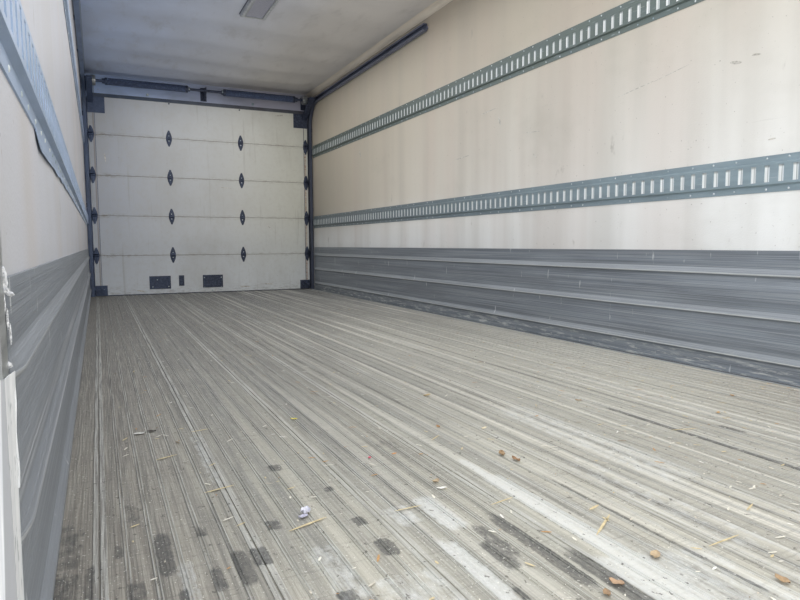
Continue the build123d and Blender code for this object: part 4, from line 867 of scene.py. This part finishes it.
door_low, door_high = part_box("door_section_1")
door_face, back = door_low.y, door_high.y
section = 0.381
door_skin, tree, shader, place, x, y, z = new_material("painted_door_skin", Roughness=0.45)
from_seam = add(tree, "Math", from_nearest(z, door_low.z, section), operation="ABSOLUTE")
above_foot, under_top = (z, 0.55, 0.56), (z, 2.0, 1.99)
seam_soil = from_seam, 0.08, 0.0
streaky = grain(place, (22, 22, 90), 0.45, 0.65, 5.0, 0.7)
right_strip = apart(x, 1.035), 0.014, 0.005
dirty = grain(place, (2.2, 3, 1.4), 0.42, 0.78, 5.0, 0.6)
mottle = grain(place, 26, 0.45, 0.75, 4.0, 0.6)
runs_down = grain(place, (24, 24, 1.4), 0.58, 0.74, 5.0, 0.6)
flecks = grain(place, (55, 55, 40), 0.68, 0.75, 4.0, 0.6)
finish(
    shader,
    mottle,
    0.0003,
    "#C6C7C4",
    # Painted shade: bluer grey towards the curb side.
    ("#B2B7C0", 1, (x, 0.3, -0.9)),
    # Painted light: warmer and paler towards the street side.
    ("#D6D5C6", 0.7, (x, 0.2, 0.9)),
    # Lighter and cooler towards the bottom.
    ("#E2E8EE", 0.6, (z, 1.1, 0.35)),
    ("#A39F94", 0.35, dirty),
    ("#8F8B80", 0.3, runs_down),
    ("#B2AC9F", 0.18, mottle),
    ("#8B7F70", 0.35, flecks),
    ("#8F8779", 0.45, seam_soil, streaky, above_foot, under_top),
    ("#77705F", 0.8, seam_soil, (x, -0.72, -1.0), streaky, above_foot, under_top),
    ("#85766B", 0.55, (apart(x, -1.015), 0.008, 0.004)),
    ("#9A6B47", 0.85, right_strip, (z, 1.83, 1.74), (streaky, 0, 1, 0.4, 1)),
    ("#8C8A84", 0.5, (z, 0.40, 0.30), streaky),
    ("#6B6458", 0.7, (from_seam, 0.009, 0.004), above_foot, under_top),
    ("#E3E4E3", 1, (y, door_face + 0.03, door_face + 0.04)),
)
dress(door_skin, *[f"door_section_{i}" for i in range(1, 6)])

# Hinge plates: half width 7 + 21 (1 - t^2)^1.3 mm at share t of the half length, crowned 2 mm across,
# with a half-round barrel on the seam; edge hinges also hold a sleeve for the roller's stem.
t = np.linspace(-1, 1, 25)[:, None]
u = np.linspace(-1, 1, 9)[None]
half_width = (7 + 21 * (1 - t**2) ** 1.3) / 1000
half_length, barrel_height = 0.0775, 0.0085
barrel = np.sqrt(np.clip(1 - (t / 0.13) ** 2, 0, None)) * barrel_height * (np.abs(u) < 0.9)
rise = 0.0036 + 0.002 * (1 - u**2) * (1 - t**2) + barrel
rise = np.where(np.abs(u) > 0.99, 0.0002, rise) * np.where(np.abs(t) > 0.99, 0.05, 1)
plate = np.stack([u * half_width, -rise, half_length * t + 0 * u], -1)
seams = door_low.z + section * np.arange(1, 5)
hinge_low, hinge_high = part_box("door_hinges")
middle_x, hinge_x = 0.349, hinge_high.x - 0.028
hinges = [plate + [hx, door_face, hz] for hx in (-hinge_x, -middle_x, middle_x, hinge_x) for hz in seams]
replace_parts(surface("spindle_hinges", hinges, fitting_steel), "door_hinges")
edge_hinges = [(s * hinge_x, hz) for s in (-1, 1) for hz in seams]
middle_hinges = [(s * middle_x, hz) for s in (-1, 1) for hz in seams]
sleeve_y, sleeve_rise, sleeve_half = hinge_low.y + 0.0095, 0.0215, 0.0187
sleeve = [[s * sleeve_half, radius] for s, radius in ((-1, 0.0062), (-1, 0.0095), (1, 0.0095), (1, 0.0062))]
sleeves = [turned(sleeve, (hx, sleeve_y, hz + sleeve_rise), 0, 14) for hx, hz in edge_hinges]
surface("roller_sleeves", sleeves, fitting_steel, closed=True)
webs = [[hx, sleeve_y + 0.014, hz + sleeve_rise, sleeve_half, 0.0065, 0.0055] for hx, hz in edge_hinges]
slabs("roller_sleeve_webs", webs, 0.001, fitting_steel)
hinge_bolts = [[hx, door_face - 0.005, hz + dz] for hx, hz in middle_hinges for dz in (-0.024, 0.024)]
heads("hinge_bolts", hinge_bolts, 0.0055, 0.004, bright_rivet)
hinge_nuts = [[hx, door_face - 0.004, hz + dz] for hx, hz in edge_hinges for dz in (-0.035, 0.05)]
heads("edge_hinge_nuts", hinge_nuts, 0.006, 0.005, fitting_steel)

# Small fittings on the inner face: grip plate rivets and keys, top bolts, bottom drain marks.
plate_y = door_face - 0.004
bright_dots = [[-0.506, plate_y, 0.430], [-0.55, plate_y, 0.36], [-0.40, plate_y, 0.36]]
bright_dots += [[0.03 + dx, plate_y, 0.39 + dz] for dx in (-0.085, 0.085) for dz in (-0.05, 0.05)]
bright_dots += [[dx, door_face, 0.307] for dx in (-0.047, 0.022, 0.091)] + [[-0.985, plate_y, 0.345]]
heads("door_rivets", bright_dots, 0.006, 0.003, bright_rivet)
dark_bolts = [[-0.338, door_face, 2.153], [0.345, door_face, 2.150]]
heads("door_top_bolts", dark_bolts, 0.008, 0.005, fitting_steel)
edge_strip = [[0, door_face - 0.0008, 2.1600, 1.058, 0.0008, 0.0016]]
slabs("door_top_strip", edge_strip, 0.0003, mill_aluminium)
bead_y, bead_z, bead_half = door_face - 0.0050, 0.4025, 0.0016
beads = []
for middle, half in ((-0.479, 0.088), (0.031, 0.086)):
    for s in (-1, 1):
        beads += [
            [middle + s * half, bead_y, bead_z, bead_half, 0.0012, 0.052],
            [middle, bead_y, bead_z + s * 0.052, half, 0.0012, bead_half],
        ]
slabs("grip_plate_beads", beads, 0.0004, track_zinc)
# Scratches, in mm: X, Z of both ends, and width.
door_scratches = [
    [700, 2120, 850, 2140, 10], [-930, 1640, -925, 1560, 10], [110, 1360, 250, 1352, 6],
    [600, 980, 660, 930, 8], [-700, 330, -620, 318, 12], [300, 340, 420, 330, 12], [560, 360, 660, 352, 10],
]
surface("door_scratches", slivers(door_scratches, door_face - 0.0004, 1, -1), rub_mark)


# Outside: pull handle on two feet, hasp and keeper. A bar's row holds both its ends, and each end has a
# ring: radius * (cos of the angle * one normal + sin * the other).
grip_x, grip_z, grip_radius = 0.11, 0.52, 0.008
handle = [[-grip_x, back + 0.040, grip_z, grip_x, back + 0.040, grip_z]]
handle = np.array(handle + [[s * grip_x, back, grip_z, s * grip_x, back + 0.045, grip_z] for s in (-1, 1)])
run = handle[:, 3:] - handle[:, :3]
run /= np.linalg.norm(run, axis=1, keepdims=True)
first = np.cross(run, [0.36, 0.48, 0.80])
first /= np.linalg.norm(first, axis=1, keepdims=True)
angle = np.linspace(0, 2 * np.pi, 12, endpoint=False)[:, None]
ring = np.cos(angle) * first[:, None] + np.sin(angle) * np.cross(run, first)[:, None]
bars = handle.reshape(-1, 2, 1, 3) + grip_radius * ring[:, None]
surface("rear_pull_handle", list(bars), galvanised, closed=True)
hasp = [
    [0, back + 0.004, 0.400, 0.060, 0.004, 0.050],
    [0, back + 0.016, 0.372, 0.018, 0.010, 0.045],
    [-0.30, back + 0.003, 0.42, 0.030, 0.003, 0.030],
    [grip_x, back + 0.003, grip_z, 0.022, 0.003, 0.022],
    [-grip_x, back + 0.003, grip_z, 0.022, 0.003, 0.022],
]
slabs("rear_hasp", hasp, 0.0015, galvanised)

# Side door. A foam leaf with a gel-coated skin and a black rubber gasket, hung on three strap hinges.
# A bright steel angle protects the jamb; it has been torn loose at the top, where white foam shows.

haze, waves = ((3, 3, 1.2), 0.4, 0.78), (1.5, 0.3, 0.7, 2.0)
gel_coat = grained("side_door_gel_coat", "#E0E1E0", ("#A7A6A1", 0.35), haze, 0.002, waves, Roughness=0.3)
dress(gel_coat, "side_door_leaf")

# Painted steel angle: pale grey, brushed along its length, nicked along the edge.
jamb_steel, tree, shader, place, x, y, z = new_material("pale_painted_angle", Metallic=0.1, Roughness=0.4)
brushed = grain(place, (300, 300, 5), 0.3, 0.7, 4.0)
nicks = grain(place, (120, 120, 45), 0.6, 0.68, 3.0)
frame_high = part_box("side_door_frame")[1]
corner_x, corner_y = frame_high.x, frame_high.y - 0.040
# Painted shade: a grey band on the angle's face along the reveal, its edge slanting down the angle.
slant = z, 0.661, 0.400, corner_x - 0.0015, corner_x - 0.0101
painted_shade_band = add(tree, "Math", x, slant, operation="SUBTRACT"), -0.0006, 0.0004
reveal = y, corner_y + 0.0004, corner_y - 0.0006
coats = ("#F2F4F6", 1, brushed), ("#8B9196", 0.6, nicks), ("#A8AAAE", 1, painted_shade_band, reveal)
finish(shader, brushed, 0.0001, "#D3D6DB", *coats)
sheet, angle_foot, angle_length = 0.0008, 0.290, 0.372
along = np.linspace(angle_foot, 0.662, 40)[:, None]
# Section, from the doorway round the corner: its free edge stands off by 3.5 mm * rise^4.
rise = (along - angle_foot) / angle_length
stand = 0.0003 + 0.0035 * rise**4
across = stand * [0, 0, 0.3, 1] + [-0.020, 0.001, 0.001, 0.001] + corner_x
depth = 0 * stand + [-0.001, -0.001, 0.018, 0.0402] + corner_y
face = np.stack([across, depth, along + 0 * across], -1)
inner = face + sheet * np.array([[0, 1, 0], [-1, 1, 0], [-1, 0, 0], [-1, 0, 0]])
grid = np.concatenate([face, inner[:, ::-1]], 1)
surface("jamb_trim_angle", grid, jamb_steel, closed=True)
# A sliver peeled off the angle's edge leans into the load space.
sliver_foot, sliver_length = 0.555, 0.095
along = np.linspace(sliver_foot, 0.650, 14)[:, None]
lean = (along - sliver_foot) / sliver_length
middle = corner_x + 0.0026 + 0.0006 * np.sin(9 * lean) + 0.0012 * lean
t = np.array([[-1.0, 0.0, 1.0]])
half = 0.0007 * t * (1 - 0.8 * lean**4)
front = np.stack([middle + half, frame_high.y - 0.001 + 0 * half, along + 0 * t], -1)
grid = np.concatenate([front, front[:, ::-1] + [0, sheet, 0]], 1)
surface("jamb_trim_sliver", grid, jamb_steel, closed=True)

# Torn foam: lumps, each a ball squeezed by its row's half sizes (in mm, after its middle) and roughened
# by sines of its own angles.
foam = grained(
    "torn_white_foam", "#F2F3F6", ("#C3C6CE", 0.6), (400, 0.35, 0.65, 3.0), 0.0012, Roughness=0.9
)
lumps = [
    [-1104, -2202, 745, 3, 3, 10], [-1102, -2202.5, 734, 2.2, 3, 3], [-1099, -2202.5, 731, 2.6, 3, 2],
    [-1104.1, -2202, 722.4, 0.9, 2, 9], [-1102.5, -2202, 709.1, 0.9, 2, 9],
    [-1100.9, -2202, 695.6, 0.9, 2, 9], [-1105, -2202, 668, 4, 2, 3],
]
lumps = np.array(lumps)[:, None, None] / 1000
height = np.linspace(0.03, np.pi - 0.03, 9)[:, None]
angle = np.linspace(0, 2 * np.pi, 12, endpoint=False)[None]
torn = 1 + 0.22 * np.sin(3 * angle + 2 * height) * np.sin(height) + 0.15 * np.sin(5 * angle - 4 * height)
ball = [np.sin(height) * np.cos(angle), np.sin(height) * np.sin(angle), -np.cos(height) + 0 * angle]
balls = lumps[..., :3] + np.stack(ball, -1) * torn[..., None] * lumps[..., 3:]
surface("torn_jamb_foam", list(balls), foam, closed=True)

# Cooling unit. A white ABS-skinned case with dark louvres and a fan behind them on the nose, and an
# evaporator case inside the load space, whose two fans blow through wire guards.

grime, pebble = ((6, 6, 2), 0.45, 0.78, 5.0), (700, 0.3, 0.7)
white_case = grained("white_abs_case", "#DADBDA", ("#9C9A95", 0.4), grime, 0.0001, pebble, Roughness=0.38)
dress(white_case, "unit_housing", "evaporator_housing")
chalking, pebble = (14, 0.4, 0.75), (500, 0.3, 0.7)
plastic = "moulded_black_plastic", "#1D1E20", ("#454544", 0.8), chalking, 0.0002, pebble
black_plastic = grained(*plastic, Roughness=0.5)
dress(black_plastic, "unit_grille", "condenser_fan", "evaporator_fan_street", "evaporator_fan_curb")

# Seams of the case: black gaskets where the lid and the base tray meet the middle panels.
unit_low, unit_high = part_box("unit_housing")
corner, rear_y = 0.090, unit_high.y - 0.004
arc = np.linspace(0, np.pi / 2, 9)
left_arc = [unit_low.x, unit_low.y] + corner * (1 - np.stack([np.cos(arc), np.sin(arc)], 1))
right_arc = left_arc[::-1] * [-1, 1]
path = np.concatenate([[[unit_low.x, rear_y]], left_arc, right_arc, [[unit_high.x, rear_y]]])
step = np.gradient(path, axis=0)
outwards = np.stack([step[:, 1], -step[:, 0]], 1) / np.linalg.norm(step, axis=1, keepdims=True)
outwards *= np.where((outwards * (path - [0, unit_high.y])).sum(1, keepdims=True) < 0, -1, 1)
seam_grids = []
for level in (unit_low.z + 0.030, unit_high.z - 0.030):
    profile = [(-0.001, -0.003), (0.0006, -0.003), (0.0006, 0.003), (-0.001, 0.003)]
    rings = [np.column_stack([path + outwards * off, np.full(len(path), level + dz)]) for off, dz in profile]
    seam_grids.append(np.stack(rings, 1))
surface("unit_case_seams", seam_grids, black_rubber, closed=True)

# Side louvres stamped in each flank, and draw latches under the lid.
flank = unit_high.x - 0.0002
louvres = [[s * flank, -4.17, 1.93 + 0.032 * i, 0.0018, 0.095, 0.0075] for s in (-1, 1) for i in range(11)]
slabs("unit_side_louvres", louvres, 0.0012, black_plastic)
latches = [[s * 0.62, unit_low.y + 0.0028, unit_high.z - 0.058, 0.022, 0.0035, 0.030] for s in (-1, 1)]
latches += [[s * (unit_high.x - 0.001), -4.02, 2.34, 0.0035, 0.020, 0.030] for s in (-1, 1)]
slabs("unit_latches", latches, 0.001, galvanised)

# Guard wires: rings 26 mm apart, each a circle of 3 mm wire.
guard_low, guard_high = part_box("evaporator_guards")
guard_y, guard_z = (guard_low.y + guard_high.y) / 2, (guard_low.z + guard_high.z) / 2
fan_x = guard_high.x - (guard_high.z - guard_low.z) / 2
guard_wire = 0.0015
around = np.linspace(0, 2 * np.pi, 33)[:, None]
wire_ring = np.linspace(0, 2 * np.pi, 6, endpoint=False)[None]
rings = []
for radius in (0.028, 0.054, 0.080, 0.106):
    reach = radius + guard_wire * np.cos(wire_ring)
    depth = guard_y - guard_wire * np.sin(wire_ring) + 0 * around
    for s in (-1, 1):
        ring = np.stack([s * fan_x + reach * np.cos(around), depth, guard_z + reach * np.sin(around)], -1)
        rings.append(ring[:, ::-1])
surface("guard_wires", rings, galvanised, smooth=True, closed=True)

# Lamps. Sealed marker lamps: a prismatic acrylic lens, ribbed inside at 5 mm, on a black base with
# two rivets.

for name, dark, light, nodes in (
    ("red_acrylic_lens", "#7E0F0C", "#B3201A", ["red_lamps", "tail_lamps"]),
    ("amber_acrylic_lens", "#B35A0A", "#E08A1C", ["amber_lamps"]),
):
    lens, tree, shader, place, x, y, z = new_material(name, Roughness=0.18)
    prisms = add(tree, "TexWave", place, 2 * np.pi / 0.005 / 20, 0.0, out=1, bands_direction="DIAGONAL")
    finish(shader, prisms, 0.0006, dark, (light, 1, prisms))
    dress(lens, *[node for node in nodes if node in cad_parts])

# Litter. Dry leaves, straw, wood chips and scraps that pallets have dropped; they lie loose on the
# ridges.

dry_litter, tree, shader, place, x, y, z = new_material("dry_leaf_and_straw", Roughness=0.8)
veins = grain(place, 180, 0.35, 0.7, 4.0)
tint = add(tree, "Attribute", attribute_name="tint", out=0)
finish(shader, veins, 0.0006, tint, ("#6E5B40", 0.3, veins))


def tinted(piece, tints):
    """Gives each point of a piece its own colour."""
    piece.data.attributes.new("tint", "FLOAT_COLOR", "POINT").data.foreach_set("color", tints.ravel())


# Columns, in mm: X, Y, half length, half width; then heading in degrees, curl in mm, and colour.
leaves = [
    (-204, -1668, 16, 10, 70, 9, "#A58C6C"), (-196, -1711, 18, 8, 95, 7, "#98795C"),
    (-421, -1745, 11, 9, 20, 5, "#B7A58A"), (-376, -2202, 14, 9, 120, 6, "#B3967A"),
    (-408, -2216, 12, 7, 60, 5, "#9C8266"), (-262, -2167, 17, 10, 35, 6, "#BDA88A"),
    (-156, -2301, 16, 10, 80, 6, "#AD9272"), (-552, -1161, 13, 8, 150, 4, "#E2D86E"),
    (-707, -1775, 17, 12, 60, 12, "#DCDDEA"), (-716, -1790, 12, 8, 10, 6, "#C9C9DC"),
    (-228, -1406, 13, 6, 85, 5, "#B78D5E"), (-125, -1470, 16, 7, 30, 3, "#E6DCC0"),
    (-427, -1781, 14, 6, 170, 3, "#E9E8E2"), (-487, -1551, 6, 5, 40, 3, "#D8627A"),
    (-425, -1551, 9, 5, 10, 3, "#D39A62"), (-950, -1115, 20, 10, 0, 3, "#D8D8D2"),
    (-920, -1105, 14, 8, 160, 3, "#3C3D40"), (-88, -1080, 20, 9, 15, 4, "#C9B48A"),
    (300, -1350, 12, 8, 140, 4, "#B39C7C"), (560, -1640, 12, 7, 30, 4, "#C7A676"),
    (780, -1520, 10, 7, 80, 4, "#BE9560"),
]
rows = np.array([leaf[:6] for leaf in leaves], float)
rows[:, :4] /= 1000
u = np.linspace(-1, 1, 9)[None, :, None]
v = np.linspace(-1, 1, 5)[None, None, :]
rows = rows * [1, 1, 0.8, 0.75, 1, 0.7]
leaf_x, leaf_y, half_length, half_leaf, heading, curl = rows.T[..., None, None]
# Leaf: half width * (1 - u^2)^0.7 across; it curls up by curl * (0.5 u^2 + 0.5 v^2) and crumples by sines.
along = u * half_length + 0 * v
across = v * half_leaf * (1.001 - u**2) ** 0.7
lift = curl / 1000 * (0.5 * u**2 + 0.5 * v**2 + 0.25 * (1 + np.sin(5 * u + 3 * v + heading)))
cos, sin = np.cos(np.radians(heading)), np.sin(np.radians(heading))
spread_x, spread_y = leaf_x + along * cos - across * sin, leaf_y + along * sin + across * cos
grid = np.stack([spread_x, spread_y, floor_top + 0.0004 + lift], -1)[:, :, ::-1]
piece = surface("dry_leaves", list(grid), dry_litter, smooth=True)
tinted(piece, np.repeat([linear(leaf[6]) for leaf in leaves], u.size * v.size, 0))

# Straw and chips: pointed flecks, thick near the street wall and where the forks stop. In mm.
rng = np.random.default_rng(7)
count = 2400
spread = rng.random((count, 4))
fleck_y = -2.45 + 4.6 * spread[:, 0] ** 1.5
fleck_x = np.where(spread[:, 1] < 0.55, 1.07 - 1.0 * spread[:, 2] ** 1.4, -1.0 + 1.9 * spread[:, 2])
size = (0.002 + 0.009 * rng.random(count) ** 3) * (1 + 0.25 * (fleck_y + 2.4))
heading = rng.random(count) * np.pi
reach = size[:, None] * np.stack([np.cos(heading), np.sin(heading)], 1)
spots = np.stack([fleck_x, fleck_y], 1)
chips = 1000 * np.column_stack([spots - reach, spots + reach, np.minimum(size * 0.7, 0.0042)])
straws = [
    [-296, -2074, -214, -2020, 5], [-162, -2182, -78, -2176, 4], [20, -2118, 60, -2102, 4],
    [-235, -1990, -203, -1980, 6], [-385, -1892, -325, -1880, 4], [-500, -1836, -560, -1838, 4],
    [-756, -1833, -676, -1806, 6], [-860, -1596, -796, -1580, 6], [-930, -1350, -880, -1330, 6],
    [-300, -1500, -260, -1470, 4], [300, -1700, 380, -1720, 5], [-830, -1160, -780, -1150, 6],
]
chips = np.concatenate([chips, straws])
piece = surface("straw_and_chips", slivers(chips, floor_top + 0.0008, 2, 1), dry_litter)
straw_tones = "#E9E6DA", "#D9C9A0", "#C59A66", "#CFC9BB", "#8C7B62", "#F1F0EA"
palette = np.array([linear(code) for code in straw_tones])
picks = rng.choice(len(palette), len(chips), p=[0.32, 0.2, 0.1, 0.18, 0.08, 0.12])
picks[-len(straws) :] = 1
tinted(piece, np.repeat(palette[picks], 10, 0))

# Stage, light and camera: a pale floor, daylight that comes in by the side doorway and through the
# pale roof, and two soft lamps for the outside.

pale_stage = grained("pale_stage", "#E9E9E8", ("#E5E5E4", 1), (0.5, 0.3, 0.7), 0, Roughness=0.8)
reach = 30
corners = [[i * reach, j * reach, -0.001] for i, j in ((-1, -1), (1, -1), (1, 1), (-1, 1))]
mesh_object("stage_floor", corners, [(0, 1, 2, 3)], pale_stage)

world = bpy.data.worlds.new("studio")
bpy.context.scene.world = world
world.use_nodes = True
tree = world.node_tree
background = tree.nodes["Background"]
background.inputs["Color"].default_value = (1, 1, 1, 1)
camera_ray, glossy, transmitted = (add(tree, "LightPath", out=i) for i in (0, 3, 6))
seen = add(tree, "Math", camera_ray, glossy, operation="MAXIMUM")
seen = add(tree, "Math", seen, transmitted, operation="MAXIMUM")
tree.links.new(add(tree, "MapRange", seen, 0, 1, 0.7, 1.0), background.inputs["Strength"])


def lamp(name, centre, towards, size, watts, code="#FFFFFF"):
    """A soft oblong lamp that the camera doesn't see, at centre and facing a point."""
    data = bpy.data.lights.new(name, "AREA")
    data.shape = "RECTANGLE"
    data.size, data.size_y = size
    data.energy = watts
    data.color = linear(code)[:3]
    light = placed(name, data)
    light.location = centre
    light.rotation_mode = "QUATERNION"
    light.rotation_quaternion = Vector(np.subtract(towards, centre).tolist()).to_track_quat("-Z", "Y")
    light.visible_camera = False


lamp("load_space_sky", (0, 0.2, 2.30), (0, 0.2, 0), (1.5, 6.6), 47)
lamp("load_space_bounce", (0, 0.3, 0.75), (0, 0.3, 3), (1.5, 6.2), 13.5)
lamp("doorway_daylight", (-0.95, -2.62, 1.25), (1.0, -2.0, 1.2), (0.8, 1.7), 8.5, "#F4F8FF")
lamp("front_fill", (0.1, -3.45, 1.30), (0.1, 3.0, 1.2), (1.8, 1.7), 27, "#FFFDF8")
lamp("key", (-6, -7, 7), (0, 0, 1.2), (5, 5), 420)
lamp("rim", (7, 6, 6), (0, 0, 1.2), (5, 5), 300)

camera_data = bpy.data.cameras.new("photo_camera")
camera_data.lens = 28.414
camera_data.sensor_width = 36
camera_data.clip_start = 0.02
camera = placed("photo_camera", camera_data)
# Held in the side doorway at chest height, 25.5 degrees to the street side of straight back, 5 degrees down.
yaw, pitch, roll = np.radians([25.50, 5.07, -0.25])
ahead = np.array([np.sin(yaw) * np.cos(pitch), np.cos(yaw) * np.cos(pitch), -np.sin(pitch)])
level = np.array([np.cos(yaw), -np.sin(yaw), 0])
upright = np.cross(level, ahead)
turn = np.eye(4)
turn[:3, 0] = np.cos(roll) * level + np.sin(roll) * upright
turn[:3, 1] = -np.sin(roll) * level + np.cos(roll) * upright
turn[:3, 2] = -ahead
turn[:3, 3] = (-1.0282, -2.851, 0.7735)
camera.matrix_world = Matrix(turn.tolist())
bpy.context.scene.camera = camera

bpy.context.scene.view_settings.view_transform = "Standard"
